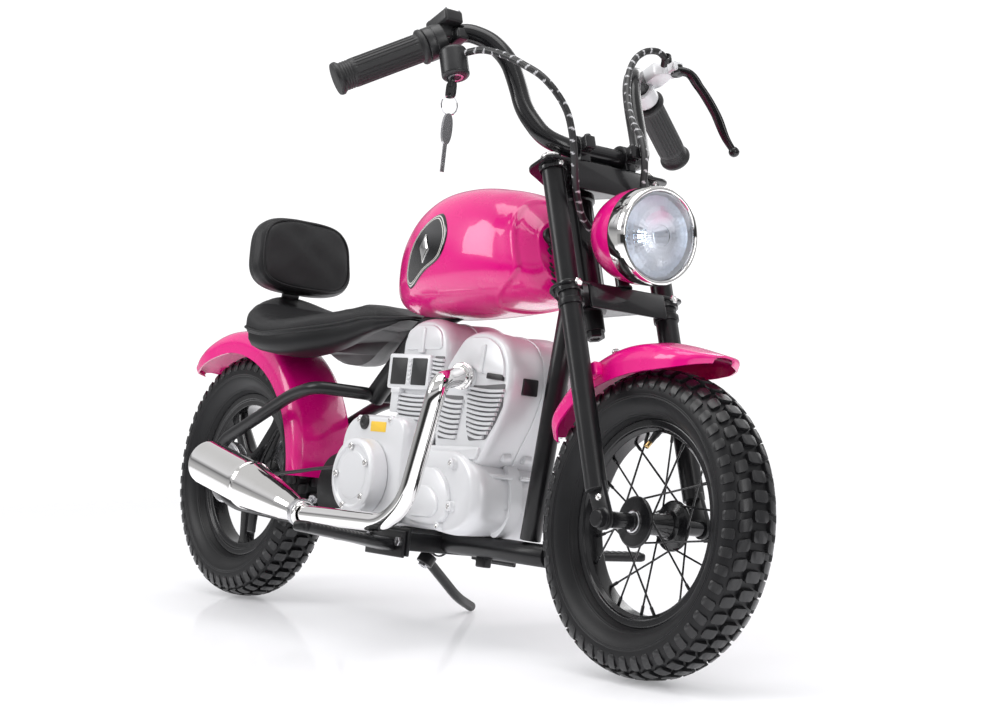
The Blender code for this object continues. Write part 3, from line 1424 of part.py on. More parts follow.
LAMP_CENTRE = Vector((0.8268, 0.0, 0.4902))
LAMP_BAND = 0.026
LAMP_DEPTH = 0.090
LAMP_WALL = 0.0022
LAMP_SIDES = 14


def lamp_place():
    return to_steering(LAMP_CENTRE)


def lamp_rotation():
    """Levels the lamp: its axis points straight ahead although the steering axis leans back."""
    return (0, math.pi / 2 + RAKE, 0)


def lamp_bowl(steering, finish):
    """The round bowl of the headlight, a thin shell open to the front, on a post from the lower plate."""
    radius = LAMP_RADIUS
    outer = [
        (0.010, -LAMP_DEPTH),
        (0.028, -LAMP_DEPTH + 0.006),
        (0.042, -LAMP_DEPTH + 0.019),
        (0.0505, -LAMP_DEPTH + 0.036),
        (radius - 0.001, -LAMP_BAND),
    ]
    inner = [(r - LAMP_WALL, z + 0.0014) for r, z in reversed(outer)]
    profile = outer + [(radius - LAMP_WALL - 0.001, -LAMP_BAND)] + inner[1:]
    made = solid("headlight_bowl", turned(profile, LAMP_SIDES), finish, steering, lamp_place(), lamp_rotation(), smooth=50)
    post = disc(0.008, CLEARANCE, 0.016, 12)
    tool("lamp_post", post, made, "UNION", (FORK_AHEAD + 0.012, 0, 0))
    return made


def lamp_rim(steering, finish):
    """The chrome band that holds the lens on the bowl."""
    radius = LAMP_RADIUS
    profile = [
        (radius - 0.0050, -LAMP_BAND + CLEARANCE),
        (radius - 0.0008, -LAMP_BAND + CLEARANCE),
        (radius + 0.0004, -0.012),
        (radius, -0.002),
        (radius - 0.0030, 0.003),
        (radius - 0.0060, 0.0015),
        (radius - 0.0050, -0.004),
    ]
    return solid("headlight_rim", turned(profile, LAMP_SIDES), finish, steering, lamp_place(), lamp_rotation(), smooth=50)


def lamp_lens(steering, finish):
    """The clear lens, a shallow dome seated inside the chrome ring."""
    radius = LAMP_RADIUS - 0.0060 - CLEARANCE
    profile = [
        (0, 0.0035),
        (radius * 0.5, 0.0020),
        (radius, -0.0030),
        (radius, -0.0050),
        (radius * 0.5, 0.0000),
        (0, 0.0015),
    ]
    return solid("headlight_lens", turned(profile, LAMP_SIDES), finish, steering, lamp_place(), lamp_rotation(), smooth=50)


def lamp_reflector(steering, finish):
    """The reflector cup behind the lens, with the socket of its light source at the middle."""
    reach = LAMP_RADIUS - 0.0050 - CLEARANCE
    outer = [(0.0, -0.044), (0.016, -0.042), (0.032, -0.031), (0.044, -0.017), (0.0475, -0.009), (reach, -0.009)]
    inner = [(reach, -0.0056), (0.0455, -0.0056), (0.0425, -0.014), (0.030, -0.028), (0.015, -0.038)]
    inner += [(0.006, -0.039), (0.006, -0.033), (0.0, -0.033)]
    place = lamp_place()
    return solid("headlight_reflector", turned(outer + inner, LAMP_SIDES), finish, steering, place, lamp_rotation(), smooth=50)


# Cables


THROTTLE_CABLE = (
    (0.6240, -0.1490, 0.6870),
    (0.6450, -0.1440, 0.6890),
    (0.6680, -0.1400, 0.6850),
    (0.6920, -0.1370, 0.6780),
    (0.7180, -0.1330, 0.6670),
    (0.7420, -0.1250, 0.6540),
    (0.7570, -0.1140, 0.6370),
    (0.7630, -0.1000, 0.6170),
    (0.7630, -0.0900, 0.5960),
    (0.7590, -0.0800, 0.5720),
    (0.7500, -0.0680, 0.5480),
    (0.7370, -0.0500, 0.5240),
    (0.7265, -0.0300, 0.5060),
    (0.7262, -0.0140, 0.4950),
    (0.7346, -0.0056, 0.4902),
)
BRAKE_CABLE = (
    (0.6203, 0.1515, 0.7330),
    (0.6262, 0.1460, 0.7415),
    (0.6260, 0.1370, 0.7465),
    (0.6240, 0.1230, 0.7455),
    (0.6270, 0.1050, 0.7360),
    (0.6370, 0.0860, 0.7160),
    (0.6520, 0.0720, 0.6900),
    (0.6700, 0.0620, 0.6620),
    (0.6930, 0.0530, 0.6380),
    (0.7210, 0.0450, 0.6160),
    (0.7380, 0.0400, 0.5880),
    (0.7440, 0.0370, 0.5620),
    (0.7460, 0.0340, 0.5400),
    (0.7400, 0.0300, 0.5200),
    (0.7290, 0.0240, 0.5050),
    (0.7262, 0.0140, 0.4950),
    (0.7346, 0.0056, 0.4902),
)
REAR_BRAKE_CABLE = (
    (0.0696, -0.05525, 0.1786),
    (0.1150, -0.0560, 0.1730),
    (0.1900, -0.0570, 0.1800),
    (0.2600, -0.0580, 0.1890),
    (0.3326, -0.0590, 0.1960),
)


def build():
    clear_scene()
    look = make_finishes()
    bike = empty("bike_lean", rotation=(-LEAN, 0, 0))
    black = look["black"]

    head_tube(bike, black)
    backbone_tube(bike, black)
    down_tube(bike, black)
    bottom_tube(bike, black)
    for word, side in (("right", -1), ("left", 1)):
        rear_upper_stay(f"rear_upper_stay_{word}", side, bike, black)
        rear_lower_stay(f"rear_lower_stay_{word}", side, bike, black)
        footrest(f"footrest_{word}", side, bike, black)
    footrest_bracket(bike, black)

    seat_pan(bike, look["plastic"])
    seat_cushion(bike, look["vinyl"])
    backrest_post(bike, black)
    backrest_pad(bike, look["vinyl"])
    rear_fender(bike, look["pink"])
    tank_shell(bike, look["pink"])
    engine_cover("engine_cover_right", -1, bike, look["silver"])
    engine_cover("engine_cover_left", 1, bike, look["silver"])
    clutch_cover("clutch_cover", -1, bike, look["silver"])
    battery_pack(bike, look["cell"])
    exhaust_pipe(bike, look["chrome"])
    muffler(bike, look["chrome"])

    drive_motor(bike, black)
    chain(bike, look["steel"])
    pinion_axle = empty("pinion_axle", bike)
    motor_sprocket(pinion_axle, look["steel"])
    rear_axle(bike, look["steel"])
    brake_plate(bike, black)
    brake_arm(bike, look["steel"])
    cord("rear_brake_cable", REAR_BRAKE_CABLE, 0.0025, look["plastic"], bike)

    rear_hub_axis = empty("rear_wheel_axis", bike, (0, 0, WHEEL_RADIUS))
    tyre("rear_tyre", look["rubber"], rear_hub_axis)
    rear_wheel(black, rear_hub_axis)
    rear_sprocket(look["steel"], rear_hub_axis)

    stand = empty("stand_pivot", bike, STAND_PIVOT)
    kickstand(stand, black)

    steering = empty("steering_axis", bike, LOWER_CLAMP, (0, -RAKE, 0))
    fork_leg("fork_leg_right", -1, steering, black)
    fork_leg("fork_leg_left", 1, steering, black)
    clamp_plate("lower_clamp", 0.0, 0.0175, 0.030, steering, black)
    clamp_plate("upper_clamp", CLAMP_SPACING, 0.0210, 0.036, steering, black)
    steering_stem(steering, look["steel"])
    front_axle(steering, look["steel"])
    front_fender(steering, look["pink"])
    handlebar(steering, black)
    bar_clamp("bar_clamp_right", -1, steering, black)
    bar_clamp("bar_clamp_left", 1, steering, black)
    grip("left_grip", 1, steering, look["grip"])
    throttle_housing(steering, look["plastic"])
    brake_perch(steering, look["steel"])
    lamp_bowl(steering, look["pink"])
    lamp_rim(steering, look["chrome"])
    lamp_lens(steering, look["clear"])
    lamp_reflector(steering, look["chrome"])
    for name, route in (("throttle_cable", THROTTLE_CABLE), ("brake_cable", BRAKE_CABLE)):
        cord(name, [to_steering(point) for point in route], 0.0042, look["plastic"], steering)

    front_hub_axis = empty("front_wheel_axis", steering, (AXLE_AHEAD, 0, -FORK_LENGTH), (0, RAKE, 0))
    tyre("front_tyre", look["rubber"], front_hub_axis)
    front_rim(black, front_hub_axis)
    front_hub(black, front_hub_axis)

    throttle = empty("throttle_axis", steering, along_grip(-1, 0.0))
    grip("throttle_grip", -1, throttle, look["grip"], (0, 0, 0))
    lever_axis = empty("lever_pivot", steering, LEVER_PIVOT)
    brake_lever(lever_axis, black)
    key_axis = empty("key_axis", steering, LOCK_PLACE, (0, RAKE, 0))
    key_seat = empty("key_seat", key_axis, (0, 0, -0.0205))
    ignition_key(key_seat, look["plastic"])
    ring_axis = empty("key_ring_axis", key_axis, (0, 0, -0.0205 - 0.0185))
    spare_key(ring_axis, look["steel"])
    settle(bike)


def settle(bike):
    """Moves the leaning bike so that the middle of its footprint is at the origin, on the floor."""
    bpy.context.view_layer.update()
    graph = bpy.context.evaluated_depsgraph_get()
    low = Vector((math.inf,) * 3)
    high = -low
    for found in bpy.data.objects:
        if found.type not in ("MESH", "CURVE") or found.hide_render:
            continue
        shown = found.evaluated_get(graph)
        mesh = shown.to_mesh()
        for vertex in mesh.vertices:
            point = shown.matrix_world @ vertex.co
            low = Vector(map(min, low, point))
            high = Vector(map(max, high, point))
        shown.to_mesh_clear()
    middle = (low + high) / 2
    bike.location = (-middle.x, -middle.y, -low.z)
    bpy.context.view_layer.update()


build()
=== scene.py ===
"""A child's electric motorcycle in the chopper style, leaning on its stand in a pale studio.

Metres, +Z up. Pieces are drawn in the upright bike's own axes (+X forward, +Y to the
rider's left, rear axle above x = 0) or in the axes of its steering, then placed.
"""

import math

import bmesh
import bpy
import numpy as np
from mathutils import Matrix, Vector


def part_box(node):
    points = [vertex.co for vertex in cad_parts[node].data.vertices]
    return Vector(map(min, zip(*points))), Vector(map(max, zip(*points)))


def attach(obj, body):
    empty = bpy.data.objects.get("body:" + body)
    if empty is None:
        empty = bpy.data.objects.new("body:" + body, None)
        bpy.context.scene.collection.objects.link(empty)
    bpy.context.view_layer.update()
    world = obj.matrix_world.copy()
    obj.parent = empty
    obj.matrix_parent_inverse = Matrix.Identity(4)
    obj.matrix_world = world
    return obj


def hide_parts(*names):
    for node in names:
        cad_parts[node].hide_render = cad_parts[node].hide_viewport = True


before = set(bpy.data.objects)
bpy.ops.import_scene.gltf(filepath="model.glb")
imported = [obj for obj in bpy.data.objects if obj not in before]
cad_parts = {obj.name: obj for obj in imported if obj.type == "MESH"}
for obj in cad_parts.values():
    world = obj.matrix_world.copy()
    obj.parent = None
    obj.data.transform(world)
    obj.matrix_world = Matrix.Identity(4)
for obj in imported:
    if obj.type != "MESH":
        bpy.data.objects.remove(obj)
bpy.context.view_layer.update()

WHEEL_RADIUS = .17
LEAN = math.radians(9.0)
RAKE = math.radians(21.6)
FORK_LENGTH = .2766
FORK_AHEAD = .047
AXLE_AHEAD = .053
CLAMP_SPACING = .152
FORK_HALF_WIDTH = .0708
LEG_RADIUS = .0127
LOWER_CLAMP = np.array([.718899, 0.0, .407667])


# Where things stand


def turn(x=0.0, y=0.0, z=0.0):
    """A 4 by 4 matrix that turns about X, then Y, then Z, in degrees."""
    return np.array(
        Matrix.Rotation(math.radians(z), 4, "Z")
        @ Matrix.Rotation(math.radians(y), 4, "Y")
        @ Matrix.Rotation(math.radians(x), 4, "X")
    )


def shift(x, y, z):
    """A 4 by 4 matrix that moves a piece."""
    made = np.eye(4)
    made[:3, 3] = (x, y, z)
    return made


def facing(spot, way):
    """A 4 by 4 matrix that sets a piece's own Z along a direction, at a spot."""
    made = np.array(Vector(way).to_track_quat("Z", "Y").to_matrix().to_4x4())
    made[:3, 3] = spot
    return made


lean = turn(x=-math.degrees(LEAN))
low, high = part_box("rear_axle")
axle = (np.array(low) + np.array(high)) / 2
BIKE = lean.copy()
BIKE[:3, 3] = axle - lean[:3, :3] @ np.array([0, 0, WHEEL_RADIUS])
STEERING = BIKE @ shift(*LOWER_CLAMP) @ turn(y=-math.degrees(RAKE))
REAR_WHEEL = BIKE @ shift(0, 0, WHEEL_RADIUS) @ turn(x=-90)
FRONT_WHEEL = STEERING @ shift(AXLE_AHEAD, 0, -FORK_LENGTH) @ turn(y=math.degrees(RAKE)) @ turn(x=-90)
LAMP = BIKE @ shift(.8268, 0, .4902) @ turn(y=90)


# Shapes


def angles(count):
    """So many even angles of one full turn."""
    return 2 * np.pi * np.arange(count) / count


def distance_along(line):
    """The distance from the first point of a line to each of its points."""
    return np.concatenate([[0], np.cumsum(np.linalg.norm(np.diff(line, axis=0), axis=1))])


def skin(points, around=True, along=False, ends=False):
    """Faces between rows of points. Around joins the last column to the first, along the last row
    to the first, and ends put a flat face over the first and the last row."""
    rows, columns = points.shape[:2]
    index = np.arange(rows * columns).reshape(rows, columns)
    if around:
        index = np.hstack([index, index[:, :1]])
    if along:
        index = np.vstack([index, index[:1]])
    faces = np.stack([index[:-1, :-1], index[:-1, 1:], index[1:, 1:], index[1:, :-1]], -1)
    faces = faces.reshape(-1, 4).tolist()
    if ends:
        faces.append(list(range(columns)))
        faces.append(list(range((rows - 1) * columns, rows * columns)))
    return points.reshape(-1, 3), faces


def joined(shapes):
    """Several shapes as one."""
    points, faces, count = [], [], 0
    for more, sides in shapes:
        points.append(more)
        faces += [[i + count for i in side] for side in sides]
        count += len(more)
    return np.vstack(points), faces


def moved(shape, matrix):
    """The shape put through a 4 by 4 matrix."""
    points, faces = shape
    return points @ matrix[:3, :3].T + matrix[:3, 3], faces


def softened(corners, radius, steps=4, closed=True):
    """The line through the corners with each corner eased: a parabola that leaves one side the
    radius before the corner and joins the next side the radius after it."""
    corners = np.array(corners, float)
    before = np.roll(corners, 1, 0) - corners
    after = np.roll(corners, -1, 0) - corners
    long_before = np.linalg.norm(before, axis=1, keepdims=True)
    long_after = np.linalg.norm(after, axis=1, keepdims=True)
    reach = np.minimum(np.broadcast_to(np.atleast_1d(radius), len(corners))[:, None],
                       .48 * np.minimum(long_before, long_after))
    start = corners + before / np.maximum(long_before, 1e-9) * reach
    end = corners + after / np.maximum(long_after, 1e-9) * reach
    t = np.linspace(0, 1, steps + 1)[None, :, None]
    arcs = start[:, None] * (1 - t) ** 2 + corners[:, None] * 2 * t * (1 - t) + end[:, None] * t ** 2
    if closed:
        return arcs.reshape(-1, corners.shape[1])
    middle = arcs[1:-1].reshape(-1, corners.shape[1])
    return np.vstack([corners[:1], middle, corners[-1:]])


def spaced(line, gap):
    """Points about one gap apart along a line."""
    line = np.array(line, float)
    run = distance_along(line)
    count = max(2, int(round(run[-1] / gap)) + 1)
    at = np.linspace(0, run[-1], count)
    return np.stack([np.interp(at, run, line[:, k]) for k in range(line.shape[1])], -1)


def flowing(at, knots, values):
    """A cubic through the knots, whose slope at each comes from its neighbours."""
    knots, values = np.array(knots, float), np.array(values, float)
    slopes = np.gradient(values, knots)
    i = np.clip(np.searchsorted(knots, at, side="right") - 1, 0, len(knots) - 2)
    step = knots[i + 1] - knots[i]
    t = (at - knots[i]) / step
    return ((1 + 2 * t) * (1 - t) ** 2 * values[i] + t * (1 - t) ** 2 * step * slopes[i]
            + t ** 2 * (3 - 2 * t) * values[i + 1] - t ** 2 * (1 - t) * step * slopes[i + 1])


def curve(points, gap, closed=False):
    """Points one gap apart on a smooth curve through the given ones, with a knot for each at its
    distance along the line."""
    points = np.array(points, float)
    if closed:
        points = np.vstack([points[-2:], points, points[:3]])
    run = distance_along(points)
    low, high = (run[2], run[-3]) if closed else (run[0], run[-1])
    at = np.linspace(low, high, max(3, int((high - low) / gap * 3)))
    line = np.stack([flowing(at, run, points[:, k]) for k in range(points.shape[1])], -1)
    made = spaced(line, gap)
    return made[:-1] if closed else made


def turned(profile, sides=64, closed=False):
    """A profile of radius and height carried round Z."""
    profile = np.array(profile, float)
    angle = angles(sides)
    ring = np.stack([np.cos(angle), np.sin(angle)], -1)
    flat = profile[:, None, :1] * ring[None]
    height = np.broadcast_to(profile[:, None, 1:], (len(profile), sides, 1))
    return skin(np.concatenate([flat, height], -1), along=closed)


def wheel_of(corners, radius=.0006, sides=64, closed=False, steps=3):
    """A turned piece whose profile corners are eased."""
    return turned(softened(corners, radius, steps, closed), sides, closed)


def tube(line, radius, sides=20, edge=.0006, across=None, flat=1.0):
    """A round bar along a line with eased ends: at each point a ring, square to the line, from a
    side direction that stays the line's least used one. Flat squeezes the ring across its way."""
    line = np.array(line, float)
    along = np.gradient(line, axis=0)
    along /= np.linalg.norm(along, axis=1, keepdims=True)
    if across is None:
        across = np.linalg.svd(line - line.mean(0) + 1e-9)[2][-1]
    side = across - (along @ across)[:, None] * along
    side /= np.linalg.norm(side, axis=1, keepdims=True)
    other = np.cross(along, side)
    radii = np.broadcast_to(np.atleast_1d(radius), len(line)).astype(float)
    if edge:
        line = np.vstack([line[:1], line[:1] + along[:1] * edge, line[1:-1], line[-1:] - along[-1:] * edge,
                          line[-1:]])
        radii = np.concatenate([[radii[0] - edge], radii, [radii[-1] - edge]])
        side = np.vstack([side[:1], side, side[-1:]])
        other = np.vstack([other[:1], other, other[-1:]])
    angle = angles(sides)
    ring = (side[:, None] * np.cos(angle)[None, :, None] * flat + other[:, None] * np.sin(angle)[None, :,
                None])
    return skin(line[:, None] + ring * radii[:, None, None], ends=True)


def rod(start, end, radius, sides=24, edge=.0006):
    """A straight round bar from start to end."""
    return tube(np.linspace(np.array(start, float), np.array(end, float), 4), radius, sides, edge)


def inset(outline, by):
    """The closed outline drawn in by a distance, square to its sides."""
    ahead = np.roll(outline, -1, 0) - np.roll(outline, 1, 0)
    normal = np.stack([ahead[:, 1], -ahead[:, 0]], -1)
    normal /= np.maximum(np.linalg.norm(normal, axis=1, keepdims=True), 1e-9)
    area = np.sum(outline[:, 0] * np.roll(outline[:, 1], -1) - outline[:, 1] * np.roll(outline[:, 0], -1))
    return outline - normal * by * np.sign(area)


def slab(outline, low, high, edge=.0006):
    """A flat plate from low to high with eased edges: rings of its outline, drawn in at each face."""
    outline = np.array(outline, float)
    rings = [(low, edge), (low + edge * .3, edge * .3), (low + edge, 0), (high - edge, 0),
             (high - edge * .3, edge * .3), (high, edge)]
    points = [np.column_stack([inset(outline, by), np.full(len(outline), z)]) for z, by in rings]
    return skin(np.array(points), ends=True)


def panel(corners, radius, low, high, edge=.0006):
    """A plate with rounded corners."""
    return slab(softened(corners, radius), low, high, edge)


def box_corners(x, y, centre=(0, 0)):
    """The corners of a rectangle with these half sides."""
    cx, cy = centre
    return [(cx - x, cy - y), (cx + x, cy - y), (cx + x, cy + y), (cx - x, cy + y)]


def soft_box(size, edge, steps=4):
    """A box with quarter rounds on its edges: a ball of the edge radius, cut into eight parts that
    move apart to the corners."""
    half = np.array(size) / 2 - edge
    quarter = np.linspace(0, np.pi / 2, steps + 1)
    around = (np.arange(4)[:, None] * np.pi / 2 + quarter).ravel()
    sign_x, sign_y = np.repeat([1, -1, -1, 1], steps + 1), np.repeat([1, 1, -1, -1], steps + 1)
    up = np.concatenate([quarter - np.pi / 2, quarter])[:, None]
    sign_z = np.repeat([-1, 1], steps + 1)[:, None]
    x = np.cos(up) * np.cos(around) * edge + sign_x * half[0]
    y = np.cos(up) * np.sin(around) * edge + sign_y * half[1]
    z = np.sin(up) * edge + sign_z * half[2] + 0 * x
    return skin(np.stack([x, y, z], -1), ends=True)


def signed_power(value, power):
    """The power of a value's size, with the value's sign: it makes a superellipse of a sine."""
    return np.sign(value) * np.abs(value) ** power


def dome_screw(radius, height=None):
    """A round screw head with a six sided socket, its seat at z = 0."""
    height = height or radius * .7
    outer = [(radius, -.0004), (radius, height * .5), (radius * .86, height * .85), (radius * .5, height)]
    socket = [(radius * .42, height * .97), (radius * .4, height * .4), (0, height * .38)]
    return turned(outer + socket, 18)


def hexagon_nut(radius, height):
    """A six sided nut or bolt head with its upper corners turned away, its seat at z = 0."""
    angle = angles(6)
    outline = np.stack([np.cos(angle), np.sin(angle)], -1) * radius
    rings = [(1.0, -.0004), (1.0, height * .82), (.9, height), (.55, height), (.5, height * .8),
             (0.0, height * .8)]
    return skin(np.array([np.column_stack([outline * size, np.full(6, z)]) for size, z in rings]))


def placed(name, data):
    """A new object of this data, linked into the scene."""
    made = bpy.data.objects.new(name, data)
    bpy.context.scene.collection.objects.link(made)
    return made


def piece(name, shapes, finish, body, within=BIKE, stands_for=(), sharp=38, marks=None):
    """Puts shapes into one named mesh at the origin, with its place in its points, and lets it ride."""
    points, faces = joined(shapes if isinstance(shapes, list) else [shapes])
    points = points @ within[:3, :3].T + within[:3, 3]
    mesh = bpy.data.meshes.new(name)
    mesh.from_pydata(points.tolist(), [], faces)
    for word, values in (marks or {}).items():
        mesh.attributes.new(word, "FLOAT", "POINT").data.foreach_set("value", np.asarray(values, np.float32))
    shape = bmesh.new()
    shape.from_mesh(mesh)
    bmesh.ops.remove_doubles(shape, verts=shape.verts, dist=2e-6)
    bmesh.ops.recalc_face_normals(shape, faces=shape.faces)
    shape.to_mesh(mesh)
    shape.free()
    mesh.shade_smooth()
    mesh.set_sharp_from_angle(angle=math.radians(sharp))
    mesh.materials.append(finish)
    made = placed(name, mesh)
    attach(made, body)
    if stands_for:
        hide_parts(*([stands_for] if isinstance(stands_for, str) else stands_for))


# Finishes


def group(name, sockets, build):
    """A shader node group: sockets are its inputs (name, kind, value) and outputs (name, kind)."""
    made = bpy.data.node_groups.new(name, "ShaderNodeTree")
    for word, kind, *value in sockets:
        way = "INPUT" if value else "OUTPUT"
        socket = made.interface.new_socket(word, in_out=way, socket_type=kind)
        if value:
            socket.default_value = value[0]
    inside = made.nodes.new("NodeGroupInput")
    outside = made.nodes.new("NodeGroupOutput")
    build(made, inside.outputs, outside)
    return made


def fill(tree, made, values):
    """Sets a node's inputs: a value is set, and a socket is linked."""
    for word, value in dict(values).items():
        if isinstance(value, bpy.types.NodeSocket):
            tree.links.new(value, made.inputs[word])
        else:
            made.inputs[word].default_value = value
    return made


def node(tree, kind, values=(), **settings):
    """A new node with its settings and its inputs."""
    made = tree.nodes.new(kind)
    for word, value in settings.items():
        setattr(made, word, value)
    return fill(tree, made, values)


def math_node(tree, operation, first, second):
    """The result of one operation on two values."""
    return node(tree, "ShaderNodeMath", {0: first, 1: second}, operation=operation).outputs[0]


def ranged(tree, value, low, high):
    """A value brought from between low and high to between 0 and 1."""
    return node(tree, "ShaderNodeMapRange", {0: value, "From Min": low, "From Max": high}).outputs[0]


def between(tree, share, first, second):
    """The colour at a share of the way from the first to the second."""
    return node(tree, "ShaderNodeMix", {0: share, 6: first, 7: second}, data_type="RGBA").outputs[2]


def noise(tree, where, scale, detail, roughness=.5):
    """A noise value at a place."""
    values = {"Vector": where, "Scale": scale, "Detail": detail, "Roughness": roughness}
    return node(tree, "ShaderNodeTexNoise", values)


def build_patina(tree, given, outside):
    """Cloudy handling marks and fine scuffs: a broad noise and a stretched fine one pick between a
    clean and a worn colour and roughness."""
    where = node(tree, "ShaderNodeTexCoord").outputs["Object"]
    broad = noise(tree, where, given["Size"], 6.0, .62)
    stretch = node(tree, "ShaderNodeMapping", {
        "Vector": where, "Scale": (1.0, .22, 1.6), "Rotation": (.3, .5, .9)})
    fine = noise(tree, stretch.outputs[0], 950.0, 3.0, .7)
    cloud = ranged(tree, broad.outputs[0], .42, .68)
    scuff = ranged(tree, fine.outputs[0], .6, .72)
    scuffed = math_node(tree, "ADD", math_node(tree, "MULTIPLY", scuff, .55), .45)
    both = math_node(tree, "MULTIPLY", cloud, scuffed)
    share = math_node(tree, "MULTIPLY", both, given["Amount"])
    colour = between(tree, share, given["Clean"], given["Worn"])
    rough = node(tree, "ShaderNodeMix", {0: both, 2: given["Smooth"], 3: given["Dull"]})
    fill(tree, outside, {"Colour": colour, "Roughness": rough.outputs[0]})


PATINA = group("patina", [
    ("Size", "NodeSocketFloat", 22.0), ("Amount", "NodeSocketFloat", .5),
    ("Clean", "NodeSocketColor", (.5, .5, .5, 1)), ("Worn", "NodeSocketColor", (.4, .4, .4, 1)),
    ("Smooth", "NodeSocketFloat", .3), ("Dull", "NodeSocketFloat", .45),
    ("Colour", "NodeSocketColor"), ("Roughness", "NodeSocketFloat"),
], build_patina)


def build_grain(tree, given, outside):
    """Fine relief of a moulded, painted or grained surface: cells for leather and rubber, noise for
    paint, mixed by Cells."""
    where = node(tree, "ShaderNodeTexCoord").outputs["Object"]
    warp = noise(tree, where, 60.0, 2.0).outputs["Color"]
    warped = node(tree, "ShaderNodeVectorMath", {0: warp, 1: (.004, .004, .004), 2: where},
                  operation="MULTIPLY_ADD").outputs[0]
    cells = node(tree, "ShaderNodeTexVoronoi", {"Vector": warped, "Scale": given["Size"], "Randomness": .9},
                 feature="DISTANCE_TO_EDGE")
    crease = ranged(tree, cells.outputs["Distance"], 0.0, .16)
    paint = noise(tree, where, given["Size"], 3.0, .55)
    height = node(tree, "ShaderNodeMix", {0: given["Cells"], 2: paint.outputs[0], 3: crease})
    fill(tree, outside, {"Height": height.outputs[0]})


GRAIN = group("grain", [
    ("Size", "NodeSocketFloat", 600.0), ("Cells", "NodeSocketFloat", 0.0), ("Height", "NodeSocketFloat"),
], build_grain)


def material(name):
    """A new material, with its node tree and its shader."""
    made = bpy.data.materials.new(name)
    made.use_nodes = True
    return made, made.node_tree, made.node_tree.nodes["Principled BSDF"]


def patina(tree, values):
    """The patina's colour and roughness for a material."""
    return node(tree, "ShaderNodeGroup", values, node_tree=PATINA).outputs


def finish(name, clean, worn, smooth, dull, metal=0.0, amount=.5, patch=22.0, grain=600.0, depth=.00003,
           cells=0.0, coat=0.0, coat_rough=.05, specular=.5, mark=None):
    """A material from the patina and the grain. Mark names an attribute of the mesh that picks a
    second colour where it is 1."""
    made, tree, shader = material(name)
    look = patina(tree, {"Size": patch, "Amount": amount, "Clean": (*clean, 1), "Worn": (*worn, 1),
                         "Smooth": smooth, "Dull": dull})
    colour = look["Colour"]
    if mark:
        spot = node(tree, "ShaderNodeAttribute", attribute_name=mark[0])
        colour = between(tree, spot.outputs["Fac"], colour, (*mark[1], 1))
    relief = node(tree, "ShaderNodeGroup", {"Size": grain, "Cells": cells}, node_tree=GRAIN)
    bump = node(tree, "ShaderNodeBump", {
        "Strength": 1.0, "Distance": depth, "Height": relief.outputs["Height"]})
    fill(tree, shader, {
        "Base Color": colour, "Roughness": look["Roughness"], "Normal": bump.outputs[0], "Metallic": metal,
        "Coat Weight": coat, "Coat Roughness": coat_rough, "Specular IOR Level": specular})
    return made


PINK = finish("hot pink gloss lacquer", (.76, .001, .215), (.7, .002, .195), .26, .34,
              patch=9.0, grain=260.0, depth=.000012, coat=.7, coat_rough=.03, specular=.3)
BLACK = finish("black frame paint", (.008, .008, .009), (.016, .016, .017), .3, .42, amount=.6,
               grain=900.0, depth=.00003, coat=.08, coat_rough=.12, specular=.32)
GLOSS_BLACK = finish("gloss black paint", (.008, .008, .009), (.02, .02, .022), .2, .32, amount=.4,
                     grain=500.0, depth=.00001, coat=.25, coat_rough=.08, specular=.35)
SILVER = finish("silver moulded plastic", (.72, .725, .74), (.66, .665, .68), .32, .42, metal=.15,
                amount=.35, patch=14.0, grain=1500.0, depth=.000025, coat=.15, coat_rough=.25)
CHROME = finish("bright chrome", (.88, .87, .86), (.78, .76, .75), .035, .1, metal=1.0,
                patch=16.0, grain=150.0, depth=.000008)
STEEL = finish("zinc plated steel", (.55, .55, .57), (.4, .39, .38), .24, .42, metal=1.0, amount=.8,
               patch=60.0, grain=1200.0, depth=.00002)
RUBBER = finish("tyre rubber", (.009, .009, .01), (.02, .02, .02), .34, .52, patch=30.0,
                grain=1400.0, depth=.00006)
SIDEWALL = finish("tyre sidewall rubber", (.009, .009, .01), (.018, .018, .019), .38, .52,
                  patch=18.0, grain=1800.0, depth=.00002, specular=.25)
GRIP = finish("grip rubber", (.013, .013, .014), (.03, .03, .032), .48, .62, grain=1600.0,
              depth=.00004)
VINYL = finish("seat vinyl", (.01, .01, .011), (.018, .018, .02), .4, .52, patch=16.0,
               grain=900.0, depth=.0001, cells=.7, specular=.35)
PLASTIC = finish("black moulded plastic", (.014, .014, .015), (.032, .032, .035), .34, .48,
                 grain=1500.0, depth=.00004)
# Painted shade: a mid grey for the gaps between the engine's fins, standing in for the shadow there.
FIN_GAP_SHADE = finish("painted shade in fin gaps", (.13, .13, .135), (.09, .09, .095), .5, .6,
              grain=900.0, depth=.00003)
SEAT_SHELL = finish("seat shell plastic", (.008, .008, .009), (.014, .014, .015), .42, .52,
                    grain=1500.0, depth=.00003, specular=.28)
YELLOW = finish("yellow label film", (.86, .55, .04), (.8, .48, .04), .35, .45, amount=.4, patch=120.0)
BRASS = finish("brass", (.72, .5, .22), (.55, .36, .15), .2, .35, metal=1.0, patch=90.0)
BATTERY = finish("battery case", (.05, .05, .06), (.09, .09, .1), .45, .55)
SLEEVE = finish("spiral cable sleeve", (.014, .014, .015), (.03, .03, .03), .42, .55,
                grain=2200.0, depth=.00003, mark=("fleck", (.62, .62, .64)))
BADGE = finish("badge enamel", (.006, .006, .007), (.012, .012, .013), .12, .2, amount=.4, patch=60.0,
               grain=300.0, depth=.00001, coat=.8, coat_rough=.04, mark=("stripe", (.72, .7, .66)))


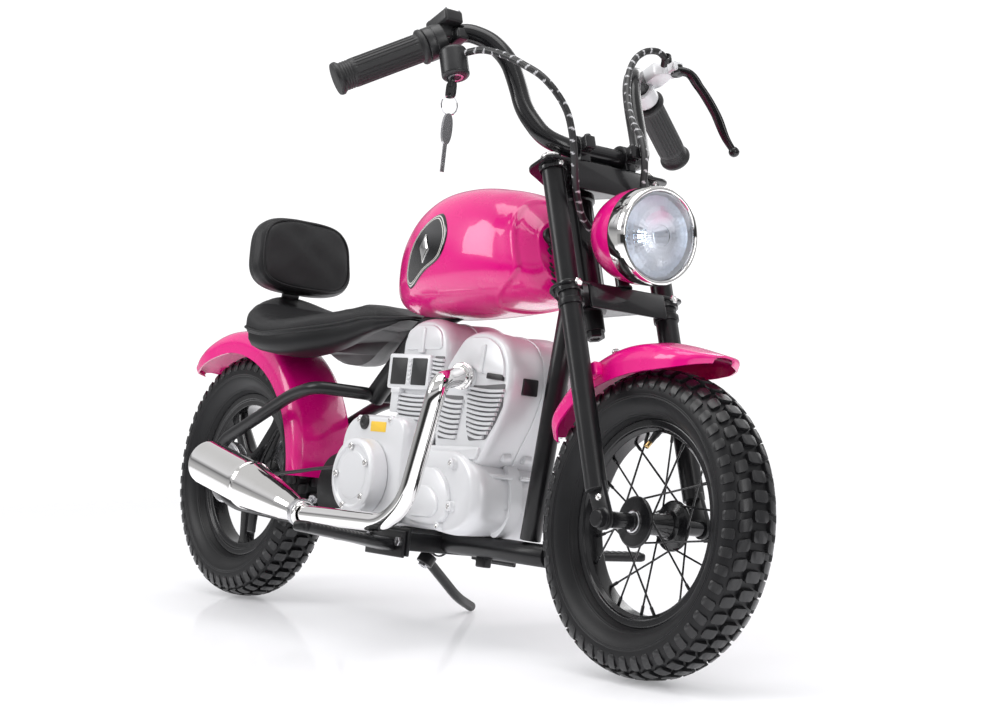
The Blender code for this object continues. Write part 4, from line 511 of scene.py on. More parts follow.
def clear_glass():
    """Clear moulded lens: its mesh's prism attribute drives the relief."""
    made, tree, shader = material("clear ribbed lens")
    look = patina(tree, {"Smooth": .12, "Dull": .2})
    relief = node(tree, "ShaderNodeAttribute", attribute_name="prism")
    bump = node(tree, "ShaderNodeBump", {"Strength": .7, "Distance": .0005, "Height": relief.outputs["Fac"]})
    fill(tree, shader, {
        "Base Color": (.96, .97, 1.0, 1), "Transmission Weight": 1.0, "IOR": 1.46,
        "Roughness": look["Roughness"], "Normal": bump.outputs[0]})
    return made


def glow(name, colour, strength):
    """A lit diode: its light varies a little over the chip."""
    made, tree, shader = material(name)
    dimmer = [.8 * c for c in colour]
    lit = patina(tree, {"Size": 300.0, "Clean": (*colour, 1), "Worn": (*dimmer, 1)})["Colour"]
    fill(tree, shader, {"Base Color": lit, "Emission Color": lit, "Emission Strength": strength})
    return made


REFLECTOR = finish("satin reflector plating", (.93, .94, .96), (.86, .87, .9), .3, .38, metal=.75,
                   patch=40.0, grain=300.0, depth=.00002)
LENS = clear_glass()
DIODE = glow("lit diode", (.55, .78, 1.0), 40.0)
NODE_LOOKS = {
    "black_frame_paint": BLACK, "pink_gloss": PINK, "silver_plastic": SILVER, "chrome": CHROME,
    "tyre_rubber": RUBBER, "grip_rubber": GRIP, "seat_vinyl": VINYL, "black_plastic": PLASTIC,
    "zinc_steel": STEEL, "clear_lens": LENS, "battery_case": BATTERY,
}
SLOTS = {look.name: word for word, look in NODE_LOOKS.items()}
SLOTS.update({
    GLOSS_BLACK.name: "black_frame_paint", SEAT_SHELL.name: "black_frame_paint", SIDEWALL.name: "tyre_rubber",
    SLEEVE.name: "black_plastic", REFLECTOR.name: "chrome",
})
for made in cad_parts.values():
    for slot in made.material_slots:
        if slot.material and slot.material.name.split(".")[0] in NODE_LOOKS:
            slot.material = NODE_LOOKS[slot.material.name.split(".")[0]]


# Studio


def pale_floor():
    """A pale floor with a faint sheen, which fades out with the distance from the middle."""
    half = 30
    mesh = bpy.data.meshes.new("floor")
    mesh.from_pydata([(-half, -half, 0), (half, -half, 0), (half, half, 0), (-half, half, 0)], [],
                     [(0, 1, 2, 3)])
    pale, tree, shader = material("pale floor")
    look = patina(tree, {"Size": 1.5, "Clean": (.9, .9, .92, 1), "Worn": (.88, .88, .9, 1),
                         "Smooth": .07, "Dull": .11})
    fill(tree, shader, {
        "Base Color": look["Colour"], "Roughness": look["Roughness"], "Emission Color": look["Colour"],
        "Emission Strength": .3, "Specular IOR Level": .55})
    where = node(tree, "ShaderNodeTexCoord")
    reach = node(tree, "ShaderNodeVectorMath", {0: where.outputs["Object"], 1: (0.0, 0.0, 0.0)},
                 operation="DISTANCE")
    fade = node(tree, "ShaderNodeMapRange", {0: reach.outputs["Value"], "From Min": 1.3, "From Max": 2.6},
                interpolation_type="SMOOTHSTEP")
    clear = node(tree, "ShaderNodeBsdfTransparent")
    mix = node(tree, "ShaderNodeMixShader", {0: fade.outputs[0], 1: shader.outputs[0], 2: clear.outputs[0]})
    fill(tree, tree.nodes["Material Output"], {0: mix.outputs[0]})
    mesh.materials.append(pale)
    placed("floor", mesh)


NEAR_SKY = ((0, .04), (.06, .03), (.11, .5), (.22, .85), (.33, .18), (.46, .85), (.8, .6))
FAR_SKY = ((0, .62), (.12, .45), (.2, .2), (.34, .9), (.7, .75))
TO_VIEWER = (.81, -.59, 0.0)
WHITE_TO_CAMERA = (1.3, 1.3, 1.31, 1)
SKY_STRENGTH = .85
MORE_FOR_DIFFUSE = .4


def sky_ramp(tree, height, greys):
    """A grey for each height of the sky."""
    ramp = node(tree, "ShaderNodeValToRGB")
    first, last = ramp.color_ramp.elements
    first.color = (greys[0][1],) * 3 + (1,)
    last.position, last.color = greys[-1][0], (greys[-1][1],) * 3 + (1,)
    for at, grey in greys[1:-1]:
        ramp.color_ramp.elements.new(at).color = (grey, grey, grey * 1.02, 1)
    return fill(tree, ramp, {0: height}).outputs[0]


def white_sky():
    """White to the camera. Reflections see greys by height, darker low on the viewer's side."""
    world = bpy.data.worlds.new("white studio")
    bpy.context.scene.world = world
    world.use_nodes = True
    tree = world.node_tree
    way = node(tree, "ShaderNodeTexCoord").outputs["Generated"]
    height = node(tree, "ShaderNodeSeparateXYZ", {0: way}).outputs[2]
    near, far = [sky_ramp(tree, height, greys) for greys in (NEAR_SKY, FAR_SKY)]
    toward = node(tree, "ShaderNodeVectorMath", {0: way, 1: TO_VIEWER}, operation="DOT_PRODUCT")
    side = ranged(tree, toward.outputs["Value"], -.25, .35)
    seen = between(tree, side, far, near)
    eye = node(tree, "ShaderNodeLightPath").outputs
    spread = node(tree, "ShaderNodeMath", {0: eye["Is Diffuse Ray"], 1: MORE_FOR_DIFFUSE, 2: SKY_STRENGTH},
                  operation="MULTIPLY_ADD")
    fill(tree, tree.nodes["Background"], {
        "Color": between(tree, eye["Is Camera Ray"], seen, WHITE_TO_CAMERA), "Strength": spread.outputs[0]})


def lights():
    """Soft lights above, in front on both sides, and behind."""
    aim = Vector((.05, 0, .35))
    for name, spot, size, power in (
        ("overhead", (.2, -.2, 2.6), (2.2, 1.6), 34.0),
        ("key", (-1.3, -2.3, 1.9), (1.1, 1.6), 30.0),
        ("front", (2.9, -.2, 1.3), (.8, 1.5), 17.0),
        ("back", (-.6, 2.6, 1.5), (2.4, 1.0), 18.0),
    ):
        lamp = bpy.data.lights.new(name, "AREA")
        lamp.shape, lamp.size, lamp.size_y, lamp.energy = "RECTANGLE", size[0], size[1], power
        holder = placed(name, lamp)
        holder.location = spot
        holder.rotation_euler = (aim - Vector(spot)).to_track_quat("-Z", "Y").to_euler()


CAMERA_SPOT = (2.7033, -1.5802, .1932)
CAMERA_TURNS = (-53.7077, 3.4182, 6.3508)
SENSOR = 36.0
LENS_TO_SENSOR = 2.19807


def camera():
    """The photograph's view: a long lens low in front of the bike's right side, turned a little."""
    yaw, pitch, roll = np.radians(CAMERA_TURNS)
    ahead = np.array([np.sin(yaw) * np.cos(pitch), np.cos(yaw) * np.cos(pitch), np.sin(pitch)])
    right = np.cross(ahead, (0, 0, 1))
    right /= np.linalg.norm(right)
    up = np.cross(right, ahead)
    made = np.eye(4)
    made[:3, 0] = right * np.cos(roll) + up * np.sin(roll)
    made[:3, 1] = up * np.cos(roll) - right * np.sin(roll)
    made[:3, 2] = -ahead
    made[:3, 3] = CAMERA_SPOT
    view = bpy.data.cameras.new("camera")
    view.sensor_width, view.lens = SENSOR, LENS_TO_SENSOR * SENSOR
    view.clip_start, view.clip_end = .05, 100.0
    holder = placed("camera", view)
    holder.matrix_world = Matrix((BIKE @ made).tolist())
    bpy.context.scene.camera = holder


pale_floor()
white_sky()
lights()
camera()
bpy.context.scene.view_settings.view_transform = "Standard"


# Tank

TANK_REAR = .364
TANK_HALF = .088
TANK_NECK = .690237
TANK_WAIST = .42
TANK_STATIONS = np.array([
    (0.0, .22, .412, .446), (.03, .4, .402, .468), (.1, .62, .396, .498), (.22, .84, .394, .526),
    (.38, .98, .396, .547), (.55, 1.0, .4, .554), (.72, .95, .406, .552), (.86, .84, .412, .545),
    (.95, .7, .42, .532), (1.0, .54, .432, .514),
])


def tank_front(z):
    """How far ahead the tank's neck is at a height: a plane along the steering's rake."""
    return TANK_NECK - math.tan(RAKE) * (z - LOWER_CLAMP[2])


def tank_size(share):
    """Width share, lowest and highest point of the tank's section at a share of its length."""
    return [flowing(share, TANK_STATIONS[:, 0], TANK_STATIONS[:, k]) for k in (1, 2, 3)]


def tank_shell():
    """Sections of the tank from its tail to its neck: ovals of power 2.5, rounder below than above.
    x runs from the tail to the raked neck with the share; the cover at the neck and below lies
    2.2 mm lower than the shell, behind a rolled edge."""
    share = np.concatenate([.03 * (1 - np.cos(np.linspace(.02, np.pi / 2, 14))),
                            np.linspace(.032, 1, 210)])[:, None]
    angle = angles(180)[None]
    width, low, top = tank_size(share)
    closing = np.sqrt(np.clip(1 - (1 - np.minimum(share / .03, 1)) ** 2, .0004, 1))
    middle = low + TANK_WAIST * (top - low)
    rise = np.sin(angle)
    up = np.where(rise > 0, top - middle, middle - low) * signed_power(rise, .8) * closing
    across = TANK_HALF * width * signed_power(np.cos(angle), .8) * closing
    z = middle + up
    edge = .935 - .3 * np.clip((.452 - z) / .05, 0, 1) ** 1.6
    step = np.clip((share - edge) / .01, 0, 1)
    step = step * step * (3 - 2 * step)
    lip = np.exp(-((share - edge + .006) / .006) ** 2)
    scale = 1 - (.0024 * step - .0008 * lip) / np.maximum(np.hypot(across, up), .012)
    across, z = across * scale, middle + up * scale
    x = TANK_REAR + (tank_front(z) - TANK_REAR) * share
    rows = np.stack([x, across, z], -1)
    neck = rows[-1]
    centre = neck.mean(0)
    inner = [centre + (neck - centre) * size + np.array([ahead, 0, 0])
             for size, ahead in ((.985, .0012), (.95, .002), (.6, .0022), (.2, .0022))]
    return skin(np.concatenate([rows, np.array(inner)]), ends=True)


def tank_side(x, z):
    """Half the tank's width at a point seen from the side."""
    share = np.clip((x - TANK_REAR) / (tank_front(z) - TANK_REAR), 0, 1)
    width, low, top = tank_size(share)
    middle = low + TANK_WAIST * (top - low)
    part = np.where(z > middle, (z - middle) / (top - middle), (middle - z) / (middle - low))
    return TANK_HALF * width * np.clip(1 - part ** 2.5, .001, 1) ** .4


def on_tank(outline, sizes, lifts):
    """Rings of an outline (x, z) shrunk about its centre, laid on the tank's right side and lifted."""
    centre = outline.mean(0)
    rings = []
    for size, lift in zip(sizes, lifts):
        at = centre + (outline - centre) * size
        side = tank_side(at[:, 0], at[:, 1])
        slope_x = (tank_side(at[:, 0] + .001, at[:, 1]) - side) / .001
        slope_z = (tank_side(at[:, 0], at[:, 1] + .001) - side) / .001
        normal = np.stack([-slope_x, np.ones(len(at)), -slope_z], -1)
        normal /= np.linalg.norm(normal, axis=1, keepdims=True)
        spot = np.stack([at[:, 0], side, at[:, 1]], -1) + normal * lift
        rings.append(spot * np.array([1, -1, 1]))
    return np.array(rings)


def mirrored(shape):
    """The shape on the bike's other side."""
    points, faces = shape
    return points * np.array([1, -1, 1]), faces


def tank():
    """The tank, with a badge on each side: a teardrop curve laid on the side (tank_side), and a
    lozenge |x| + |z| / 1.7 = 0.0105. A charge socket and its coiled lead sit at the neck."""
    piece("tank", tank_shell(), PINK, "frame", stands_for="tank_shell", sharp=60)
    outline = curve([(.5129, .5114), (.5347, .4863), (.5289, .462), (.4984, .4442), (.4474, .4273),
                     (.45, .445), (.4555, .4634), (.4778, .494)], .0022, closed=True)
    sizes = [1.03, 1.03, 1.0, .965, .96, .935, .93, .9, .895, .875, .87, .7, .45, .2, .03]
    lifts = [-.002, .0004, .0012] + [.0014] * 12
    stripes = np.array([0, 0, 0, 0, 1, 1, 0, 0, 1, 1, 0, 0, 0, 0, 0])
    badge = skin(on_tank(outline, sizes, lifts), ends=True)
    centre = outline.mean(0) + np.array([.004, .002])
    turns = np.linspace(0, 2 * np.pi, 33)[:-1]
    reach = .0105 / (np.abs(np.cos(turns)) / 1.0 + np.abs(np.sin(turns)) / 1.7)
    lozenge = centre + np.stack([np.cos(turns), np.sin(turns)], -1) * reach[:, None]
    small = skin(on_tank(lozenge, [1.0, 1.0, .92, .6, .1], [.0012, .0022, .0028, .0032, .0034]), ends=True)
    marks = np.repeat(stripes, len(outline))
    piece("tank_badges", [badge, mirrored(badge)], BADGE, "frame", marks={"stripe": np.tile(marks, 2)},
          sharp=50)
    piece("tank_badge_lozenges", [small, mirrored(small)], CHROME, "frame", sharp=50)
    neck = tank_front(.487) - .004
    plug = facing((neck, -.026, .487), (.93, -.05, .37))
    body = wheel_of([(0, 0.0), (.0125, 0.0), (.0125, .004), (.0105, .006), (.0105, .011), (.0075, .0125),
                     (0, .0125)], .0007, 36)
    piece("charge_socket", moved(body, plug), PLASTIC, "frame")
    lead = curve([(neck + .008, -.026, .492), (neck + .012, -.029, .478), (neck + .013, -.03, .462),
                  (.676, -.03, .448), (.676, -.026, .436), (.668, -.016, .432)], .0015)
    around = np.arange(len(lead)) * 1.25
    coil = lead + np.stack([.0016 * np.cos(around), .0016 * np.sin(around), 0 * around], -1)
    piece("charge_lead", tube(coil, .0021, 8, 0), PLASTIC, "frame", sharp=80)


tank()


# Wheels

TYRE_HALF = .034
TYRE_CENTRE = .143
TYRE_RISE = .027
TYRE_POWER = 2.6
TREAD_PITCHES = 50
SPOKES = 20
CAST_SPOKES = 5


def tyre_envelope():
    """The tyre's outer shape: a superellipse of power 2.6 about radius 0.143, tabled by the distance
    from the middle of the tread."""
    t = np.linspace(0, np.pi / 2, 200)
    side = TYRE_HALF * np.sin(t) ** (2 / TYRE_POWER)
    radius = TYRE_CENTRE + TYRE_RISE * np.cos(t) ** (2 / TYRE_POWER)
    run = np.concatenate([[0], np.cumsum(np.hypot(np.diff(side), np.diff(radius)))])
    out = np.stack([np.gradient(side), np.gradient(radius)], -1)
    out = np.stack([-out[:, 1], out[:, 0]], -1)
    out /= np.linalg.norm(out, axis=1, keepdims=True)
    return run, side, radius, out


def tread_blocks():
    """Staggered rows of rubber blocks: each is an outline with cut corners in distance across the
    tread and angle round the wheel, as three rings that sink, stand and close in."""
    run, side, radius, out = tyre_envelope()
    u = np.array([.12, .37, .63, .88, 1, 1, .88, .63, .37, .12, 0, 0])
    v = np.array([0, 0, 0, 0, .18, .82, 1, 1, 1, 1, .82, .18])
    cap = [[0, 1, 8, 9], [1, 2, 7, 8], [2, 3, 6, 7], [3, 4, 5, 6], [9, 10, 11, 0]]
    pitch = 2 * np.pi / TREAD_PITCHES
    shapes = []
    for start, end, length, ahead, skew in (
        (-.0095, .0095, .6, 0.0, 0.0), (.0128, .0272, .62, .5, .16), (.0308, .048, .54, 0.0, 0.0),
        (-.0128, -.0272, .62, .5, .16), (-.0308, -.048, .54, 0.0, 0.0),
    ):
        rings = []
        for grow, sink in ((1.04, .0075), (1.0, .0006), (.985, .0001), (.96, 0.0)):
            across = start + (end - start) * (.5 + (u - .5) * grow)
            around = ((v - .5) * grow * length + ahead + skew * (u - .5)) * pitch
            at = np.abs(across)
            r = np.interp(at, run, radius) - sink * np.interp(at, run, out[:, 1])
            y = np.sign(start + end + 1e-9) * (np.interp(at, run, side) - sink * np.interp(at, run,
                    out[:, 0]))
            if start == -end:
                y = np.sign(across) * (np.interp(at, run, side) - sink * np.interp(at, run, out[:, 0]))
            turns = around[None] + pitch * np.arange(TREAD_PITCHES)[:, None]
            rings.append(np.stack([r * np.cos(turns), r * np.sin(turns), np.broadcast_to(y, turns.shape)],
                                  -1))
        points = np.stack(rings, 1).reshape(TREAD_PITCHES, -1, 3)
        _, sides = skin(points[0].reshape(4, 12, 3))
        faces = sides + [[i + 36 for i in quad] for quad in cap]
        offsets = np.arange(TREAD_PITCHES) * 48
        shapes.append((points.reshape(-1, 3),
                       [[i + k for i in face] for k in offsets.tolist() for face in faces]))
    return shapes


def tyre_walls():
    """The tyre's carcass between its beads, with raised rings at the rim and at the shoulder."""
    half = curve([(.1146, .0148), (.1168, .0186), (.121, .024), (.1263, .0284), (.134, .0322), (.1431, .0335),
                  (.151, .0322), (.157, .029), (.1615, .0235), (.164, .015), (.1645, 0)], .0006)
    for spot in (.1185, .12, .1372, .1392):
        half[:, 1] += .0006 * np.exp(-((half[:, 0] - spot) / .0005) ** 2)
    other = half[::-1][1:] * np.array([1, -1])
    inner = np.array([(.115, -.0135), (.109, -.0128), (.109, .0128), (.115, .0135)])
    return turned(np.vstack([half, other, inner]), 168, closed=True)


def rim_profile(bore, half_bore):
    """Half of the rim from its bore over the drop to its lip, then mirrored."""
    half = [(bore, 0.0), (bore, half_bore), (.1048, .0122), (.1062, .015), (.1132, .0154), (.1146, .0146),
            (.1146, .013), (.1084, .0124), (.1078, 0.0)]
    return half + [(r, -y) for r, y in half[-2:0:-1]]


def front_wheel():
    """The tyre, the rim, the hub and crossed spokes. A spoke runs from radius 0.024 at an angle 62
    degrees off to radius 0.101 at its own angle."""
    piece("front_tyre_carcass", tyre_walls(), SIDEWALL, "front_wheel", FRONT_WHEEL, "front_tyre")
    piece("front_tyre_tread", tread_blocks(), RUBBER, "front_wheel", FRONT_WHEEL, sharp=30)
    rim = wheel_of(rim_profile(.1005, .009), .0007, 144, closed=True)
    piece("front_rim_black", rim, GLOSS_BLACK, "front_wheel", FRONT_WHEEL, "front_rim")
    barrel = [(.004, -.0318), (.0128, -.0318), (.0136, -.03), (.027, -.0296), (.0285, -.0285),
              (.0285, -.0262), (.0262, -.025), (.0165, -.0215), (.0135, -.017), (.0125, -.01), (.0125, 0.0)]
    hub = turned(softened(barrel + [(r, -z) for r, z in barrel[-2::-1]], .0007, 3, closed=False), 72)
    piece("front_hub_black", hub, GLOSS_BLACK, "front_wheel", FRONT_WHEEL, "front_hub")
    ring = wheel_of([(.0078, 0), (.0122, 0), (.0122, .0012), (.0112, .0018), (.0092, .0012), (.0078, .0016)],
                    .0003, 48, True)
    piece("front_bearing_rings", [moved(ring, shift(0, 0, .0312)),
                                  moved(ring, shift(0, 0, -.0312) @ turn(x=180))], STEEL, "front_wheel",
          FRONT_WHEEL)
    spokes, nipples, heads = [], [], []
    for i in range(SPOKES):
        side = 1 if i % 2 else -1
        outer = 2 * np.pi * i / SPOKES + .1
        inner = outer + (1 if i % 4 < 2 else -1) * math.radians(62)
        start = np.array([.024 * math.cos(inner), .024 * math.sin(inner), side * .0272])
        end = np.array([.101 * math.cos(outer), .101 * math.sin(outer), side * .004])
        reach = end - start
        spokes.append(rod(start, end, .0012, 8, 0))
        nipples.append(rod(end - reach * .11, end, .0019, 8, .0003))
        heads.append(moved(dome_screw(.0021, .0014), facing(start + np.array([0, 0, side * .0006]),
                               (0, 0, side))))
    piece("front_spokes", spokes + heads, GLOSS_BLACK, "front_wheel", FRONT_WHEEL, sharp=50)
    piece("front_spoke_nipples", nipples, BLACK, "front_wheel", FRONT_WHEEL, sharp=50)
    place = math.radians(-93)
    out = np.array([math.cos(place), math.sin(place), 0])
    base = out * .101
    stem = facing(base + np.array([0, 0, -.004]), -out + np.array([0, 0, -.85]))
    rubber = wheel_of([(0, -.004), (.0042, -.004), (.0042, .004), (.0034, .008), (.0031, .016), (0, .016)],
                      .0006, 24)
    cap = wheel_of([(0, .0155), (.0026, .0155), (.003, .017), (.003, .0235), (.0022, .0245), (0, .0245)],
                   .0004, 24)
    piece("front_valve", moved(rubber, stem), PLASTIC, "front_wheel", FRONT_WHEEL)
    piece("front_valve_cap", moved(cap, stem), BRASS, "front_wheel", FRONT_WHEEL)


def rear_wheel():
    """The tyre, and a casting whose spokes have sections of power 4, wider at both ends by
    exp(-(s / 0.14)^2) and exp(-((1 - s) / 0.10)^2)."""
    piece("rear_tyre_carcass", tyre_walls(), SIDEWALL, "rear_wheel_group", REAR_WHEEL, "rear_tyre")
    piece("rear_tyre_tread", tread_blocks(), RUBBER, "rear_wheel_group", REAR_WHEEL, sharp=30)
    rim = wheel_of(rim_profile(.0975, .012), .0012, 144, closed=True)
    spokes = []
    for i in range(CAST_SPOKES):
        angle = 360 // CAST_SPOKES * i + 18
        share = np.linspace(0, 1, 14)
        reach = .02 + .08 * share
        swell = 1 + .55 * np.exp(-(share / .14) ** 2) + .7 * np.exp(-((1 - share) / .1) ** 2)
        half = (.013 - .004 * share) * swell
        deep = .012 - .0045 * share
        around = angles(28)
        y = half[:, None] * signed_power(np.cos(around), .5)[None]
        z = deep[:, None] * signed_power(np.sin(around), .5)[None]
        x = np.broadcast_to(reach[:, None], y.shape)
        spokes.append(moved(skin(np.stack([x, y, z], -1), ends=True), turn(z=angle)))
    barrel = [(.0095, -.032), (.015, -.032), (.016, -.03), (.0235, -.029), (.026, -.027), (.026, 0)]
    hub = turned(softened(barrel + [(r, -z) for r, z in barrel[-2::-1]], .0015, 3, closed=False), 64)
    piece("rear_wheel_casting", [rim, hub] + spokes, GLOSS_BLACK, "rear_wheel_group", REAR_WHEEL,
          "rear_wheel", sharp=50)


front_wheel()
rear_wheel()


# Mudguards

GUARD_HALF = .047
REAR_GUARD = np.array([(138, .018, .34, .012), (136, .017, .62, .015), (131, .014, .84, .02),
                       (123, .012, .98, .026), (111, .011, 1, .032), (97, .009, 1, .034), (82, .006, 1, .036),
                       (66, .003, 1, .036), (50, 0, 1, .034), (34, -.002, 1, .032), (18, -.004, 1, .03),
                       (2, -.006, 1, .026)])[::-1]
FRONT_GUARD = np.array([(65, .014, .34, .01), (67, .012, .64, .014), (71, .009, .86, .02),
                        (79, .006, .98, .028), (90, .005, 1, .034), (101, .004, 1, .036),
                        (112, .002, 1, .034), (123, 0, 1, .03), (135, -.002, 1, .026), (146, -.004, .9, .022),
                        (152, -.006, .62, .016)])


def mudguard(stations, reach, lower):
    """A shell over the wheel: at each angle the section is a rounded roof with skirts, with its
    reach from the wheel's centre, its width and its skirt from the stations. An inner shell, one
    wall below, and strips between the two close it all round."""
    wall = .0026
    roof = np.array([(-1, 1.0), (-1, .45), (-.86, .1), (-.5, 0), (0, -.1), (.5, 0), (.86, .1), (1, .45),
                     (1, 1.0)])
    roof = softened(roof, .22, 5, closed=False)
    roof = spaced(roof, .05)
    tail = np.linspace(0, 1, 110)
    ends = stations[[0, -1], 0]
    angle = ends[0] + (ends[1] - ends[0]) * (.5 - .5 * np.cos(np.pi * (.04 + .92 * tail)))
    angle = np.concatenate([[ends[0]], angle, [ends[1]]])
    lift, width, skirt = [flowing(angle, stations[:, 0], stations[:, k]) for k in (1, 2, 3)]
    turns = np.radians(angle - lower)
    out = np.stack([np.cos(turns), np.zeros_like(turns), np.sin(turns)], -1)
    shells = []
    for depth in (0.0, wall):
        drop = roof[:, 1][None] * skirt[:, None] + depth * (np.abs(roof[:, 0]) < .97)[None]
        side = roof[:, 0][None] * (GUARD_HALF * width)[:, None]
        side = side - np.sign(side) * depth * (np.abs(roof[:, 0]) > .8)[None]
        outward = out[:, None] * ((reach + lift)[:, None] - drop)[..., None]
        shells.append(outward + np.stack([0 * side, side, 0 * side], -1))
    loop = np.concatenate([shells[0], shells[1][:, ::-1]], 1)
    points, faces = skin(loop)
    rows, columns = loop.shape[:2]
    for first in (0, (rows - 1) * columns):
        for i in range(columns // 2 - 1):
            faces.append([first + i, first + i + 1, first + columns - 2 - i, first + columns - 1 - i])
    return points, faces


def side_of(shape, right=True):
    """A plate drawn in (x, z) with its thickness outward, set on the bike's right or left side."""
    made = moved(shape, turn(x=90))
    return made if right else mirrored(made)


def both(shape):
    """The shape on both of the bike's sides."""
    return [shape, mirrored(shape)]


def mudguards():
    """Both mudguards, the front one with ears and screws at the fork."""
    rear = moved(mudguard(REAR_GUARD, .194, 0.0), shift(0, 0, WHEEL_RADIUS))
    piece("rear_mudguard", rear, PINK, "frame", stands_for="rear_fender", sharp=50)
    front = moved(mudguard(FRONT_GUARD, .192, 21.6), shift(AXLE_AHEAD, 0, -FORK_LENGTH))
    ears = []
    for side in (1, -1):
        ear = soft_box((.02, .012, .016), .003)
        ears.append(moved(ear, shift(.047, side * .0515, -.1006)))
    piece("front_mudguard", [front] + ears, PINK, "steering_group", STEERING, "front_fender", sharp=50)
    screws = [moved(dome_screw(.005, .003), facing((.047, side * .045, -.096),
                        (0, -side, .3))) for side in (1, -1)]
    screws += [moved(dome_screw(.0045, .003), facing((.0533, side * .02, -.0765),
                         (0.0, 0, 1))) for side in (1, -1)]
    piece("front_mudguard_screws", screws, CHROME, "steering_group", STEERING, sharp=30)


mudguards()


# Seat

SEAT_REAR = .046
SEAT_LENGTH = .328
SEAT_MIDDLE = .21
SEAT_HALF = .098


def seat_line(share):
    """Half width, top and underside of the seat at a share of its length from the rear."""
    width = SEAT_HALF * (.36 + .64 / (1 + np.exp((share - .56) * 11)))
    tail = np.minimum(1, (share / .16 + .02) ** .5)
    nose = np.minimum(1, np.clip((1 - share) / .16 + .02, 0, 9) ** .5)
    width = width * tail * nose
    tail_rise = .054 * np.maximum(0, 1 - share / .33) ** 1.6
    nose_rise = .03 * np.minimum(1, np.maximum(0, share - .25) / .5) ** 1.3
    top = .38 + tail_rise + nose_rise
    top = top - .014 * np.maximum(0, 4 * share - 3) ** 2
    low = .352 - .01 * np.sin(np.pi * np.minimum(1, 1.3 * share)) + .036 * share ** 1.4
    low = low + .03 * np.maximum(0, 1 - share / .18) ** 2 + .006 * np.maximum(0, 10 * share - 9) ** 2
    return width, top, low


def seat_rings(share, angle):
    """The seat's oval sections with a dished top, and shallow sag folds that fan across the dish."""
    width, top, low = seat_line(share)
    middle = (top + low) / 2
    half = (top - low) / 2 * np.minimum(1, .45 + 4.5 * np.minimum(share, 1 - share))
    across = width * signed_power(np.cos(angle), 2 / 3)
    up = half * signed_power(np.sin(angle), 2 / 3)
    over = np.maximum(0, up / half)
    dish = .01 * (across / width) ** 2 * over * (1 - share)
    fold = .0003 * over * np.sin(across * 210 + 5 * np.sin(share * 9)) * np.exp(-((share - .62) / .16) ** 2)
    pull = .0004 * over * np.sin(share * 120 + 8 * (across / width) ** 2) * np.abs(across / width) ** 4
    x = SEAT_REAR + SEAT_LENGTH * share
    return np.stack([x + 0 * across, across, middle + up + dish + fold + pull], -1)


def seat():
    """The seat pad: code made dish, folds and pulls, with a welt cord round its lower edge."""
    ease = (1 - np.cos(np.linspace(0.0, np.pi, 150))) / 2
    share = (.002 + .996 * ease)[:, None]
    angle = angles(120)[None]
    piece("seat_pad", skin(seat_rings(share, angle), ends=True), VINYL, "frame", stands_for="seat_cushion",
          sharp=75)
    share = (.004 + .992 * (1 - np.cos(np.linspace(0.0, np.pi, 130))) / 2)
    right = seat_rings(share[:, None], np.full((1, 1), -.1))[:, 0]
    left = seat_rings(share[:, None], np.full((1, 1), np.pi + .1))[:, 0]
    welt = np.vstack([right, left[::-1], right[:1]])
    welt[:, :2] = welt[:, :2] + np.sign(welt[:, :2] - np.array([SEAT_MIDDLE, 0])) * np.array([0.0, .0006])
    piece("seat_welt", tube(spaced(welt, .003), .0019, 10, 0, across=np.array([0, 0, 1.0])), VINYL, "frame",
          sharp=80)
    share = .012 + .976 * (1 - np.cos(np.linspace(0.0, np.pi, 110))) / 2
    width, top, low = seat_line(share)
    middle = (top + low) / 2 - .004
    under = low - .016 * np.sin(np.pi * np.clip(share * 1.05, 0, 1)) ** .7
    rings = []
    for size, sink in ((.955, 0.0), (.965, .25), (.955, .55), (.91, .8), (.82, .94), (.68, 1.0), (.45, 1.02)):
        x = SEAT_MIDDLE + (SEAT_REAR + SEAT_LENGTH * share - SEAT_MIDDLE) * (.55 + .45 * size)
        z = middle + (under - middle) * sink
        rings.append(np.concatenate([np.stack([x, width * size, z], -1),
                                     np.stack([x, -width * size, z], -1)[::-1]]))
    piece("seat_base", skin(np.array(rings), ends=True), SEAT_SHELL, "frame", stands_for="seat_pan", sharp=60)


BACKREST_DEPTH = .038
BACKREST_HALF = .0765
BACKREST_RISE = .0525
BACKREST = BIKE @ shift(.06, 0, .479) @ turn(y=-9)


